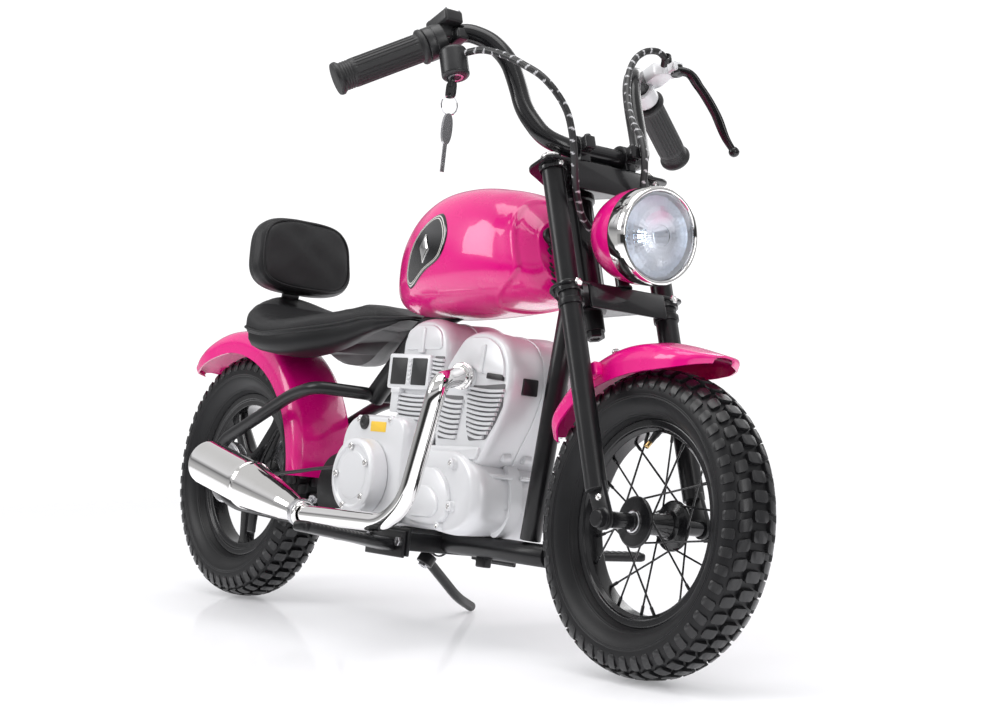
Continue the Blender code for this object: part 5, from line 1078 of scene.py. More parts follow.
def backrest():
    """The backrest pad: oval sections along its depth that swell to the front, with a welt cord."""
    depth = np.array([-.5, -.42, -.15, .15, .36, .46, .5]) * BACKREST_DEPTH
    sizes = np.array([.86, .94, 1, .985, .9, .74, .5])
    at = np.linspace(depth[0], depth[-1], 40)
    size = flowing(at, depth, sizes)
    angle = angles(160)
    across = BACKREST_HALF * signed_power(np.cos(angle), 2 / 3.4)
    up = BACKREST_RISE * signed_power(np.sin(angle), 2 / 3.4)
    rows = []
    closing = [(depth[-1] + .0008, .4), (depth[-1] + .0014, .25), (depth[-1] + .0016, .08)]
    for x, scale in list(zip(at, size)) + closing:
        y = across * scale * (1 - .05 * up / BACKREST_RISE)
        z = up * scale
        sag = .0009 * np.sin(y * 95 + 3) * np.cos(z * 130) * (x > .01)
        rows.append(np.stack([x + sag, y, z], -1))
    piece("backrest_cushion", skin(np.array(rows), ends=True), VINYL, "frame", BACKREST, "backrest_pad",
          sharp=75)
    for name, x, scale in (("backrest_front_welt", .0145, .893), ("backrest_rear_welt", -.0155, .945)):
        y = across * (scale + .008) * (1 - .05 * up / BACKREST_RISE)
        ring = np.stack([np.full_like(y, x), y, up * (scale + .008)], -1)
        piece(name, tube(spaced(np.vstack([ring, ring[:1]]), .0025), .0015, 10, 0,
                         across=np.array([1.0, 0, 0])), VINYL, "frame", BACKREST, sharp=80)
    screws = [moved(dome_screw(.0045, .0028), facing((-.0245, 0, z), (-1, 0, 0))) for z in (-.024, .012)]
    piece("backrest_screws", screws, STEEL, "frame", BACKREST)


seat()
backrest()


# Engine


def fin(left, right, z, bow, fall, half, out):
    """One cooling fin between two sides: a rounded bar, bowed down in its middle by a parabola."""
    u = np.linspace(-1, 1, 11)
    x = (left + right) / 2 + u * (right - left) / 2
    level = z - bow * (1 - u ** 2) - fall * u
    ring = np.array([(1, -1), (1, .4), (.6, 1), (-.6, 1), (-1, .4), (-1, -1)]) * np.array([half, .0021])
    rows = [np.stack([np.full(6, a), b + ring[:, 0], ring[:, 1] + out], -1) for a, b in zip(x, level)]
    return both(side_of(skin(np.array(rows), ends=True)))


def pillow(outline, centre, profile):
    """A shell on both sides of the middle: the side view's outline (x, z), scaled about a centre by
    a profile of distance from the middle and scale, from one side face to the other."""
    outline = curve(outline, .003, closed=True)
    profile = [(-y, size) for y, size in profile[::-1]] + list(profile)
    profile = np.array(profile)
    at = np.array(centre) + (outline - np.array(centre))[None] * profile[:, 1][:, None, None]
    y = np.broadcast_to(profile[:, :1], at.shape[:2])
    return skin(np.stack([at[..., 0], y, at[..., 1]], -1), ends=True)


def plate(corners, radius, low, high, edge=.0006):
    """A rounded plate on both of the engine's sides, from one distance from the middle to another."""
    made = panel(corners, radius, low, high, edge)
    return both(side_of(made))


def oblong(x0, x1, z0, z1):
    """The corners of an upright rectangle."""
    return [(x0, z0), (x1, z0), (x1, z1), (x0, z1)]


def rounded(half, edge, flat=0.0, seam=.0012):
    """A pillow's profile: a raised seam in the middle, full width, then a quarter round to the side."""
    t = np.linspace(0, np.pi / 2, 7)
    rim = [(half - edge + edge * math.sin(a), 1 - flat * (1 - math.cos(a))) for a in t]
    return [(.0002, .985), (seam, .985), (seam + .0004, .968), (.01, .972), (half * .6, .995)] + rim + [
        (half + .0002, .55 * (1 - flat)), (half + .0003, .04)]


def engine():
    """The engine's moulded halves: pillows for the crankcase, the case and the cylinders, plates on
    their sides, and rows of fins whose place and length follow a share k / n of the row. Mid grey
    plates behind the fins are painted shade for the gaps between them."""
    silver, dark, chrome = [], [], []
    crank = [(.366, .1316), (.43, .1312), (.52, .1312), (.59, .133), (.612, .148), (.617, .178), (.608, .205),
             (.585, .224), (.52, .229), (.43, .229), (.366, .2276), (.362, .18)]
    silver.append(pillow(crank, (.48, .18), rounded(.06, .016, .1)))
    case = softened(oblong(.3335, .475, .1316, .264), [.05, .02, .022, .046], 10)
    silver.append(pillow(spaced(np.vstack([case, case[:1]]), .006)[:-1], (.404, .198),
                         rounded(.0735, .01, .075)))
    rear = [(.42, .25), (.417, .3), (.416, .345), (.418, .366), (.43, .38), (.452, .388), (.48, .388),
            (.5, .38), (.512, .364), (.515, .335), (.508, .29), (.503, .25)]
    silver.append(pillow(rear, (.463, .315), rounded(.0515, .015, .12)))
    front = [(.512, .215), (.502, .25), (.499, .289), (.513, .328), (.532, .352), (.546, .366), (.565, .373),
             (.6, .373), (.628, .362), (.644, .34), (.648, .31), (.636, .273), (.615, .238), (.6, .215)]
    silver.append(pillow(front, (.575, .298), rounded(.0515, .013, .085)))
    silver += plate([(.542, .33), (.548, .358), (.562, .366), (.598, .3665), (.622, .356), (.636, .336),
                     (.638, .316), (.615, .318), (.575, .328)], .008, .048, .0548, .0028)
    silver += plate([(.585, .324), (.59, .356), (.599, .358), (.596, .323)], .003, .05, .0572, .0018)
    silver += plate([(.424, .348), (.427, .372), (.445, .38), (.482, .3805), (.5, .372), (.505, .35)], .008,
                    .048, .054, .0028)
    silver += plate([(.456, .345), (.46, .376), (.468, .377), (.468, .345)], .003, .05, .0562, .0018)
    cover = [(.47, .15), (.464, .168), (.472, .19), (.495, .207), (.54, .206), (.564, .186), (.569, .156),
             (.556, .14), (.52, .137), (.485, .14)]
    silver += plate(cover, .012, .055, .0668, .0042)
    inner = [(.478, .154), (.474, .168), (.49, .183), (.533, .184), (.552, .17), (.552, .154), (.54, .146),
             (.495, .145)]
    silver += plate(inner, .01, .064, .0705, .003)
    beside = np.linspace(.056, .006, 9)
    ahead = .576 + .036 * np.sqrt(1 - (beside / .0605) ** 2)
    for z in (.204, .165):
        rib = np.stack([ahead, -beside, np.full(9, z)], -1)
        silver += both(tube(spaced(rib, .003), .003, 12, .0006, across=np.array([0, 0, 1.0])))
    silver.append(pillow([(.59, .133), (.61, .148), (.6165, .178), (.608, .205), (.59, .222), (.58, .221),
                          (.598, .204), (.606, .178), (.6, .15), (.584, .1345)], (.6, .178),
                         [(.0002, 1.05), (.008, 1.05), (.0092, .98), (.0094, .5)]))
    for x, z, r in ((.565, .213, .0062), (.57, .162, .006), (.473, .164, .0052), (.551, .137, .005)):
        boss = wheel_of([(0, 0), (r * 1.25, 0), (r * 1.25, .003), (r, .004), (r, .009), (r * .6, .0095),
                         (r * .5, .0078), (0, .0078)], .0006, 40)
        silver += both(moved(boss, shift(x, -.057, z) @ turn(x=90)))
        chrome += both(moved(dome_screw(r * .5, .002), shift(x, -.0648, z) @ turn(x=90)))
    lug = wheel_of([(0, 0), (.0062, 0), (.0062, .01), (.005, .012), (0, .012)], .0008, 32)
    silver += both(moved(lug, shift(.606, -.01, .227) @ turn(x=90)))
    silver += plate([(.5, .218), (.5, .233), (.606, .236), (.6, .22)], .006, .04, .056, .003)
    port = wheel_of([(0, 0), (.0185, 0), (.018, .004), (.016, .0075), (.016, .01), (0, .01)], .0012, 48)
    silver += both(moved(port, shift(.5617, -.048, .316) @ turn(x=90)))
    for x, z in ((.37, .256), (.44, .258), (.456, .144)):
        stub = wheel_of([(0, 0), (.0066, 0), (.0066, .003), (.0055, .0042), (0, .0042)], .0006, 32)
        silver += both(moved(stub, shift(x, -.07, z) @ turn(x=90)))
        chrome += both(moved(dome_screw(.003, .0018), shift(x, -.0742, z) @ turn(x=90)))
    silver += plate(oblong(.4, .4895, .2995, .343), .004, .048, .0585, .0014)
    dark += plate(oblong(.4075, .441, .3045, .338), .002, .056, .0592, .0004)
    dark += plate(oblong(.4525, .4845, .3045, .338), .002, .056, .0592, .0004)
    for k in range(6):
        silver += plate(oblong(.4435, .4505, .306 + .0055 * k, .3095 + .0055 * k), .0006, .056, .06, .0003)
    silver += plate(oblong(.412, .431, .294, .301), .002, .048, .06, .001)
    silver += plate(oblong(.408, .424, .27, .296), .002, .044, .056, .001)
    # Painted shade: mid grey plates behind the fins stand in for the shadow in the gaps between them.
    shade = plate(oblong(.424, .508, .262, .294), .002, .048, .0521, .0003)
    shade += plate(oblong(.49, .51, .294, .342), .002, .048, .0521, .0003)
    for k in range(6):
        silver += fin(.424, .488, .265 + .0056 * k, .0012, .0004, .0019, .053)
    for k in range(9):
        silver += fin(.489, .511, .296 + .0052 * k, .0006, .0006, .0018, .053)
    side = [(.566, .308), (.6, .309), (.64, .312), (.638, .286), (.628, .266), (.612, .245), (.578, .242),
            (.57, .26)]
    shade += plate(side, .003, .048, .0523, .0003)
    shade += plate([(.515, .295), (.559, .295), (.552, .242), (.514, .242)], .003, .048, .0523, .0003)
    for k in range(11):
        share = k / 10
        silver += fin(.578 - .013 * share, .609 + .032 * share ** .6, .247 + .056 * share + .002, .0022,
                      .0014, .0019, .0536)
    for k in range(8):
        share = k / 7
        silver += fin(.513 + .001 * share, .553 + .008 * share, .247 + .043 * share, .002, .0016, .0021,
                      .0532)
    dark += plate([(.605, .317), (.637, .315), (.636, .322), (.606, .324)], .002, .052, .0558, .0003)
    nose = turn(y=90) @ turn(z=90)
    dark.append(moved(panel(box_corners(.011, .01), .002, -.002, .006, .001),
                      shift(.644, -.022, .311) @ nose))
    dark.append(moved(panel(box_corners(.011, .01), .002, -.002, .006, .001), shift(.644, .022, .311) @ nose))
    plug = wheel_of([(0, 0), (.0095, 0), (.0095, .003), (.008, .004), (.0045, .0042), (.004, .003),
                     (0, .003)], .0005, 40)
    dark += both(moved(plug, shift(.3835, -.0722, .254) @ turn(x=90)))
    piece("engine_shells", silver, SILVER, "frame", stands_for=["engine_cover_right", "engine_cover_left"],
          sharp=35)
    piece("engine_recesses", dark, PLASTIC, "frame", sharp=35)
    piece("engine_fin_gap_shade", shade, FIN_GAP_SHADE, "frame", sharp=35)
    piece("engine_screws", chrome, CHROME, "frame", sharp=30)
    label = panel(oblong(.398, .432, .243, .2556), .0012, .0725, .0741, .0002)
    piece("engine_label_blank", side_of(label), YELLOW, "frame")


def clutch():
    """The round clutch cover: a raised ring with a shallow dish, and screws round it."""
    cover = [(0, .0004), (.0475, .0004), (.0475, .0185), (.0462, .0215), (.043, .0232), (.0392, .0235),
             (.0378, .0222), (.0374, .0208), (.03, .0212), (.0292, .022), (.012, .0224), (0, .0225)]
    at = shift(.401, -.074, .186) @ turn(x=90)
    piece("clutch_cover_dish", moved(wheel_of(cover, .0008, 128), at), SILVER, "frame",
          stands_for="clutch_cover", sharp=30)
    screws = [moved(dome_screw(.0042, .0026), shift(x, -.0965, z) @ turn(x=90))
              for x, z in ((.3937, .2218), (.4297, .2026), (.4272, .1604), (.3886, .1477), (.365, .186))]
    piece("clutch_screws", screws, CHROME, "frame", sharp=30)


engine()
clutch()


# Frame

STAY_SIDE = .069


def bent(corners, radius, bar, sides=32, gap=.004, edge=.0008):
    """A round tube through corners, bent with a radius at each."""
    return tube(spaced(softened(corners, radius, 10, closed=False), gap), bar, sides, edge)


def head_tube():
    """The steering's bearing tube, with a cup at each end."""
    profile = [(.0139, .006), (.0215, .006), (.0222, .0075), (.0222, .015), (.019, .0165), (.019, .1315),
               (.0222, .133), (.0222, .1405), (.0215, .142), (.0139, .142)]
    piece("head_tube_cups", wheel_of(profile, .0006, 64, closed=True), GLOSS_BLACK, "frame", STEERING,
          "head_tube")


def frame_tubes():
    """Backbone, down tube, bottom tube and the four stays with their drop-out plates and tabs."""
    made = [bent([(.667, 0, .4839), (.47, 0, .4095), (.387, 0, .3865), (.285, 0, .289)], .035, .0135),
            rod((.68, 0, .415), (.652, 0, .133), .0125, 32),
            rod((.395, 0, .1175), (.692, 0, .1175), .0135, 32),
            moved(soft_box((.018, .012, .014), .002), shift(.565, 0, .1))]
    for side in (1, -1):
        made.append(bent([(.2865, side * .006, .2925), (.293, side * .0193, .293),
                          (.247, side * STAY_SIDE, .295), (.19, side * STAY_SIDE, .282),
                          (.03, side * STAY_SIDE, .216), (.012, side * STAY_SIDE, .197)], .02, .0085, 28,
                         .003))
        made.append(bent([(.4606, side * STAY_SIDE, .113), (.07, side * STAY_SIDE, .129),
                          (.014, side * STAY_SIDE, .152)], .03, .0085, 28))
        made.append(moved(soft_box((.016, .005, .032), .0015), shift(.128, side * STAY_SIDE, .11)))
    outline = [(-.019, .15), (.03, .144), (.022, .191), (-.019, .191)]
    made += plate(outline, .01, .0665, .0715, .0008)
    piece("frame_tubes", made, BLACK, "frame", stands_for=[
        "backbone_tube", "down_tube", "bottom_tube", "rear_upper_stay_right", "rear_upper_stay_left",
        "rear_lower_stay_right", "rear_lower_stay_left"], sharp=50)
    welds = []
    for spot, radius in (((.395, 0, .1175), .0142), ((.47, 0, .113), .016)):
        ring = wheel_of([(radius - .002, -.002), (radius, -.001), (radius, .001), (radius - .002, .002)],
                        .0004, 40, True)
        welds.append(moved(ring, facing(spot, (1, 0, 0))))
    piece("frame_welds", welds, BLACK, "frame")


def peg(side):
    """A foot peg: its bar tapers outward, with teeth across its top for grip."""
    start, end = np.array([.48, side * .0834, .108]), np.array([.556, side * .259, .123])
    share = np.linspace(0, 1, 141)
    line = start + (end - start) * share[:, None]
    along = (end - start) / np.linalg.norm(end - start)
    fore = np.cross(along, (0, 0, 1)) * side
    up = np.cross(fore, along) * side
    up *= np.sign(up[2])
    deep = np.interp(share, [0, .35, 1], [.02, .014, .011])
    rise = np.interp(share, [0, .35, 1], [.0085, .007, .0065])
    close = np.clip((1 - share) / .03, 0, 1) ** .5 * .35 + .65
    angle = angles(36)
    a = signed_power(np.cos(angle), .45)[None] * deep[:, None] * close[:, None]
    b = signed_power(np.sin(angle), .45)[None] * rise[:, None] * close[:, None]
    teeth = .0011 * (np.abs((share * 24) % 1 - .5) * 2) * (share > .28) * (share < .97)
    b = b + np.where(b > 0, 1, 0) * (teeth - .0008)[:, None]
    points = line[:, None] + fore * a[..., None] + up * b[..., None]
    return skin(points, ends=True)


def pegs():
    """The foot pegs on their bracket, with a bolt at each end."""
    made = [moved(soft_box((.03, .164, .022), .003), shift(.476, 0, .113))]
    made += [moved(soft_box((.088, .0045, .034), .0015), shift(.476, s * .08, .113)) for s in (1, -1)]
    piece("peg_bracket", made, BLACK, "frame", stands_for="footrest_bracket", sharp=50)
    bolts = []
    for side, name in ((-1, "footrest_right"), (1, "footrest_left")):
        base = moved(soft_box((.082, .0042, .032), .0015), shift(.476, side * .0845, .11))
        piece(name + "_peg", [base, peg(side)], BLACK, "frame", stands_for=[name], sharp=40)
        for x, z in ((.444, .1145), (.508, .1131)):
            bolts.append(moved(hexagon_nut(.0058, .0042), shift(x, side * .0866, z) @ turn(x=-90 * side)))
    piece("peg_bolts", bolts, STEEL, "frame", sharp=25)


def kickstand():
    """The side stand's leg, bent near its foot, with an eye on its pivot and a flattened foot."""
    pivot, foot = np.array([.4, .032, .09]), np.array([.335, .158, .0292])
    bend = pivot + (foot - pivot) * .72 + np.array([.01, -.01, -.004])
    folded = np.array([-.97, .22, -.02])
    axis = np.cross(foot - pivot, folded)
    axis /= np.linalg.norm(axis)
    eye = wheel_of([(0, -.0069), (.011, -.0069), (.011, .0069), (0, .0069)], .001, 36)
    made = [bent([pivot + (bend - pivot) * .06, bend, foot], .02, .0065, 24, .003, .0012),
            moved(eye, facing(pivot, axis))]
    piece("stand_leg", made, BLACK, "kickstand", stands_for="kickstand_leg", sharp=50)
    bolt = [moved(hexagon_nut(.0062, .004), facing(pivot + axis * s * .007, axis * s)) for s in (1, -1)]
    piece("stand_bolt", bolt, STEEL, "kickstand", sharp=25)


head_tube()
frame_tubes()
pegs()
kickstand()


# Exhaust

EXHAUST_SIDE = .124


def exhaust():
    """The exhaust's bend through eased corners, and the turned muffler with its strap."""
    line = [(.5643, -.0562, .318), (.5665, -.065, .3178), (.608, -EXHAUST_SIDE, .306),
            (.568, -EXHAUST_SIDE, .163), (.528, -EXHAUST_SIDE, .134), (.3485, -EXHAUST_SIDE, .131)]
    line = spaced(softened(line, [.022, .008, .022, .022, .022, .022], 10, closed=False), .003)
    piece("exhaust_bend", tube(line, .0115, 48, .0008), CHROME, "frame", stands_for="exhaust_pipe", sharp=60)
    collar = wheel_of([(.0116, 0), (.0165, 0), (.0165, .004), (.015, .005), (.015, .008), (.0116, .009)],
                      .0005, 48, True)
    piece("exhaust_collar", moved(collar, facing((.5643, -.06, .318), (.3, -.94, 0))), CHROME, "frame")
    hanger = moved(soft_box((.014, .0375, .005), .001), shift(.448, -.105, .132))
    piece("exhaust_hanger", hanger, BLACK, "frame")
    profile = [(.012, .0004), (.0158, .0004), (.0168, .002), (.0168, .0135), (.0152, .015), (.0152, .019),
               (.02, .045), (.0262, .093), (.0306, .136), (.0314, .1396), (.0324, .1405), (.0324, .144),
               (.0309, .1456), (.0306, .152), (.0306, .258), (.0301, .2625), (.0278, .2665), (.0245, .268),
               (.0225, .2672), (.021, .262), (.0205, .235)]
    at = shift(.3455, -EXHAUST_SIDE, .1305) @ turn(y=-79)
    piece("muffler_barrel", moved(wheel_of(profile, .0009, 128, steps=4), at), CHROME, "frame",
          stands_for="muffler", sharp=60)
    piece("muffler_dark", moved(wheel_of([(0, .236), (.0212, .236), (.0212, .234), (0, .234)], .0003, 48),
                                at), PLASTIC, "frame")
    strap = wheel_of([(.0156, .004), (.0182, .004), (.0182, .0115), (.0156, .0115)], .0005, 64, True)
    ears = [moved(soft_box((.01, .0022, .0075), .0006), shift(.0215, y, .0078)) for y in (-.0022, .0022)]
    bolt = rod((.0225, -.006, .0078), (.0225, .006, .0078), .0022, 16)
    piece("muffler_clamp", [moved(s, at @ turn(z=35)) for s in [strap, bolt] + ears], STEEL, "frame",
          sharp=40)


exhaust()


# Drive

MOTOR_PLACE = (.272, -.002, .166)
CHAIN_SIDE = .0515
SPROCKET_RADIUS = .0556
PINION_RADIUS = .0137


def chain_path(count):
    """Places along the chain: an arc round the rear sprocket, a straight run, an arc round the
    pinion and a straight run back, in (x, z)."""
    big, small = np.array([0, WHEEL_RADIUS]), np.array([MOTOR_PLACE[0], MOTOR_PLACE[2]])
    far = np.linalg.norm(small - big)
    way = math.atan2(*(small - big)[::-1])
    off = math.acos((SPROCKET_RADIUS - PINION_RADIUS) / far)
    a = np.linspace(way + off, way + 2 * np.pi - off, 200)
    b = np.linspace(way - off, way + off, 60)
    ring = np.vstack([big + SPROCKET_RADIUS * np.stack([np.cos(a), np.sin(a)], -1),
                      small + PINION_RADIUS * np.stack([np.cos(b), np.sin(b)], -1)])
    ring = np.vstack([ring, ring[:1]])
    run = distance_along(ring)
    at = np.linspace(0, run[-1], count + 1)[:-1]
    later = (at + .0005) % run[-1]
    ahead = np.interp(later, run, ring[:, 0]), np.interp(later, run, ring[:, 1])
    spots = np.stack([np.interp(at, run, ring[:, 0]), np.interp(at, run, ring[:, 1])], -1)
    return spots, np.stack(ahead, -1) - spots


def sprocket(teeth, radius, half, boss):
    """A toothed plate, r = radius + 0.0016 clip(1.4 cos(teeth a)), with a boss."""
    angle = angles(teeth * 8)
    tooth = np.clip(np.cos(angle * teeth) * 1.4, -1, 1)
    reach = radius + .0016 * tooth
    outline = np.stack([reach * np.cos(angle), reach * np.sin(angle)], -1)
    hub = wheel_of([(0, -boss[1]), (boss[0], -boss[1]), (boss[0], boss[1]), (0, boss[1])], .0008, 48)
    return [slab(outline, -half, half, .0004), hub]


def drive():
    """Sprockets, chain, motor, axle and brake. A chain plate is x = 0.0040 cos t with eased ends,
    z = 0.0027 sin t, narrowed in its middle."""
    at = BIKE @ shift(0, CHAIN_SIDE, WHEEL_RADIUS) @ turn(x=-90)
    piece("rear_sprocket_plate", sprocket(44, SPROCKET_RADIUS, .0013, (.02, .004)), STEEL, "rear_wheel_group",
          at, ["rear_sprocket"], sharp=40)
    at = BIKE @ shift(MOTOR_PLACE[0], CHAIN_SIDE, MOTOR_PLACE[2]) @ turn(x=-90)
    piece("pinion", sprocket(11, PINION_RADIUS, .0013, (.0075, .006)), STEEL, "motor_pinion", at,
          "motor_sprocket", sharp=40)
    spots, ahead = chain_path(98)
    turns = np.arctan2(ahead[:, 1], ahead[:, 0])
    t = np.linspace(0, 2 * np.pi, 13)[:-1]
    link = np.stack([.004 * np.cos(t) + .0016 * np.sign(np.cos(t)),
                     .0027 * np.sin(t) * (1 - .28 * np.exp(-(np.cos(t) / .3) ** 2))], -1)
    plates = []
    for i, (spot, a) in enumerate(zip(spots, turns)):
        gap = .0021 if i % 2 else .0029
        place = shift(spot[0], CHAIN_SIDE, spot[1]) @ turn(y=-math.degrees(a)) @ turn(x=90)
        thin = slab(link, -.0004, .0004, .0002)
        roller = turned([(0, -.0031), (.0014, -.0031), (.0014, .0031), (0, .0031)], 8)
        plates += [moved(thin, place @ shift(0, 0, gap)), moved(thin, place @ shift(0, 0, -gap)),
                   moved(roller, place @ shift(.004, 0, 0))]
    piece("chain_links", plates, STEEL, "frame", stands_for="drive_chain", sharp=30)
    body = [(0, -.034), (.044, -.034), (.0465, -.032), (.0465, -.0255), (.048, -.0245), (.048, .0245),
            (.0465, .0255), (.0465, .032), (.044, .034), (.016, .034), (.016, .037), (.008, .037),
            (.0055, .04), (.0055, .0462), (0, .0462)]
    motor = moved(wheel_of(body, .0008, 72), shift(*MOTOR_PLACE) @ turn(x=-90))
    foot = moved(soft_box((.1226, .05, .006), .0012), shift(.3333, 0, .119))
    piece("motor_case", [motor, foot], BLACK, "frame", stands_for="drive_motor", sharp=40)
    rear = [(0, -.0799), (.008, -.0799), (.009, -.0785), (.009, -.0722), (.0112, -.0719), (.0112, -.0712),
            (.005, -.071), (.005, -.0661), (.0085, -.0661), (.0085, -.0635), (.005, -.0635), (.005, -.034)]
    half = moved(wheel_of(rear, .0004, 48), shift(0, 0, WHEEL_RADIUS) @ turn(x=-90))
    through = rod((0, -.034, WHEEL_RADIUS), (0, .034, WHEEL_RADIUS), .0049, 24)
    piece("rear_spindle", both(half) + [through], STEEL, "frame", stands_for="rear_axle", sharp=30)
    disc = [(0, .0334), (.0405, .0334), (.043, .035), (.043, .0465), (.0405, .0488), (.03, .0488),
            (.028, .0478), (.012, .0478), (.01, .0488), (0, .0488)]
    piece("rear_brake_disc", moved(wheel_of(disc, .0006, 96), shift(0, 0, WHEEL_RADIUS) @ turn(x=90)), STEEL,
          "frame", stands_for="brake_plate", sharp=30)


drive()


# Fork and clamps


def fork():
    """The fork's legs with feet, collars, caps and screws."""
    legs = []
    for side, name in ((-1, "fork_leg_right"), (1, "fork_leg_left")):
        y = side * FORK_HALF_WIDTH
        leg = rod((FORK_AHEAD, y, -.2426), (FORK_AHEAD, y, .158), LEG_RADIUS, 48, .001)
        drop = [(FORK_AHEAD - .0125, -.2326), (FORK_AHEAD + .0125, -.2326), (AXLE_AHEAD + .0125, -.2766),
                (AXLE_AHEAD + .0088, -.2862), (AXLE_AHEAD, -.2891), (AXLE_AHEAD - .0088, -.2862),
                (AXLE_AHEAD - .0125, -.2766)]
        foot = side_of(panel(drop, .004, abs(y) - .003, abs(y) + .003, .0008), side < 0)
        collar = wheel_of([(LEG_RADIUS - .001, -.0255), (.0148, -.0255), (.0148, -.0185),
                           (LEG_RADIUS - .001, -.0165)], .0006, 48, True)
        piece(name + "_tube", [leg, foot, moved(collar, shift(FORK_AHEAD, y, 0))], BLACK, "steering_group",
              STEERING, [name], sharp=40)
        cap = wheel_of([(0, .158), (.0122, .158), (.0122, .16), (.0108, .1622), (.007, .1628), (.0062, .1612),
                        (0, .1612)], .0005, 48)
        legs.append(moved(cap, shift(FORK_AHEAD, y, 0)))
        screw = moved(dome_screw(.0036, .0028), facing((FORK_AHEAD + .0155, y, .1465), (1, 0, 0)))
        legs.append(screw)
        legs.append(moved(hexagon_nut(.0052, .0035), facing((FORK_AHEAD + .0155, y, -.003), (1, 0, 0))))
    piece("fork_caps", legs, CHROME, "steering_group", STEERING, sharp=30)


def clamp(height, lobe, flange):
    """A fork clamp: a flat plate with lobes over the legs, a turned down lip in front and rings."""
    wide = FORK_HALF_WIDTH + lobe
    outline = [(FORK_AHEAD + lobe, -wide), (FORK_AHEAD + lobe, wide), (FORK_AHEAD - lobe, wide),
               (-.0185, .012), (-.0185, -.012), (FORK_AHEAD - lobe, -wide)]
    made = [panel(outline, .012, height - .004, height, .0008)]
    lip = panel(box_corners(.0558, flange / 2), .004, 0, .003, .0008)
    made.append(moved(lip, shift(FORK_AHEAD + lobe - .0026, 0,
                                 height - flange / 2 - .0005) @ turn(z=90) @ turn(x=90)))
    for side in (1, -1):
        ring = wheel_of([(LEG_RADIUS + .0002, height - .01), (.0159, height - .01), (.0159, height + .001),
                         (LEG_RADIUS + .0002, height + .001)], .0007, 48, True)
        made.append(moved(ring, shift(FORK_AHEAD, side * FORK_HALF_WIDTH, 0)))
    return made


def clamps():
    """Both fork clamps, the steering's stem, and the front axle with its nuts and spacers."""
    piece("lower_clamp_plate", clamp(0, .0175, .03), GLOSS_BLACK, "steering_group", STEERING, "lower_clamp",
          sharp=40)
    piece("upper_clamp_plate", clamp(CLAMP_SPACING, .021, .036), GLOSS_BLACK, "steering_group", STEERING,
          "upper_clamp", sharp=40)
    stem = [(0, -.0344), (.0085, -.0344), (.0085, -.0304), (.0127, -.03), (.0127, -.006), (.0175, -.006),
            (.0175, -.0042), (.0127, -.004), (.0127, .153), (.0175, .153), (.0175, .155), (.0095, .1555),
            (.0085, .162), (0, .1625)]
    nut = [moved(hexagon_nut(.0115, .008), shift(0, 0, -.03) @ turn(x=180)),
           moved(hexagon_nut(.012, .006), shift(0, 0, .155))]
    piece("steering_column", [wheel_of(stem, .0005, 48)] + nut, BLACK, "steering_group", STEERING,
          "steering_stem", sharp=30)
    axle = [(0, -.0842), (.0088, -.0842), (.01, -.0822), (.01, -.075), (.0128, -.0745), (.0128, -.0739),
            (.005, -.0737), (.005, -.0674), (.008, -.0674), (.008, -.0325), (.005, -.0325), (.005, 0)]
    half = wheel_of(axle, .0005, 48)
    points, faces = half
    piece("front_spindle", [half, (points * np.array([1, 1, -1]), faces)], BLACK, "steering_group",
          FRONT_WHEEL, ["front_axle"], sharp=30)
    spacer = wheel_of([(.0081, .033), (.0092, .033), (.0092, .0672), (.0081, .0672)], .0003, 40, True)
    points, faces = spacer
    piece("front_spacers", [spacer, (points * np.array([1, 1, -1]), faces)], GLOSS_BLACK, "steering_group",
          FRONT_WHEEL)
    bolts = [moved(dome_screw(.0042, .003), side_place) for side_place in
             (shift(.053, -.0738, -.252) @ turn(x=90), shift(.053, .0738, -.252) @ turn(x=-90))]
    piece("dropout_bolts", bolts, CHROME, "steering_group", STEERING, sharp=30)


fork()
clamps()


# Lamp


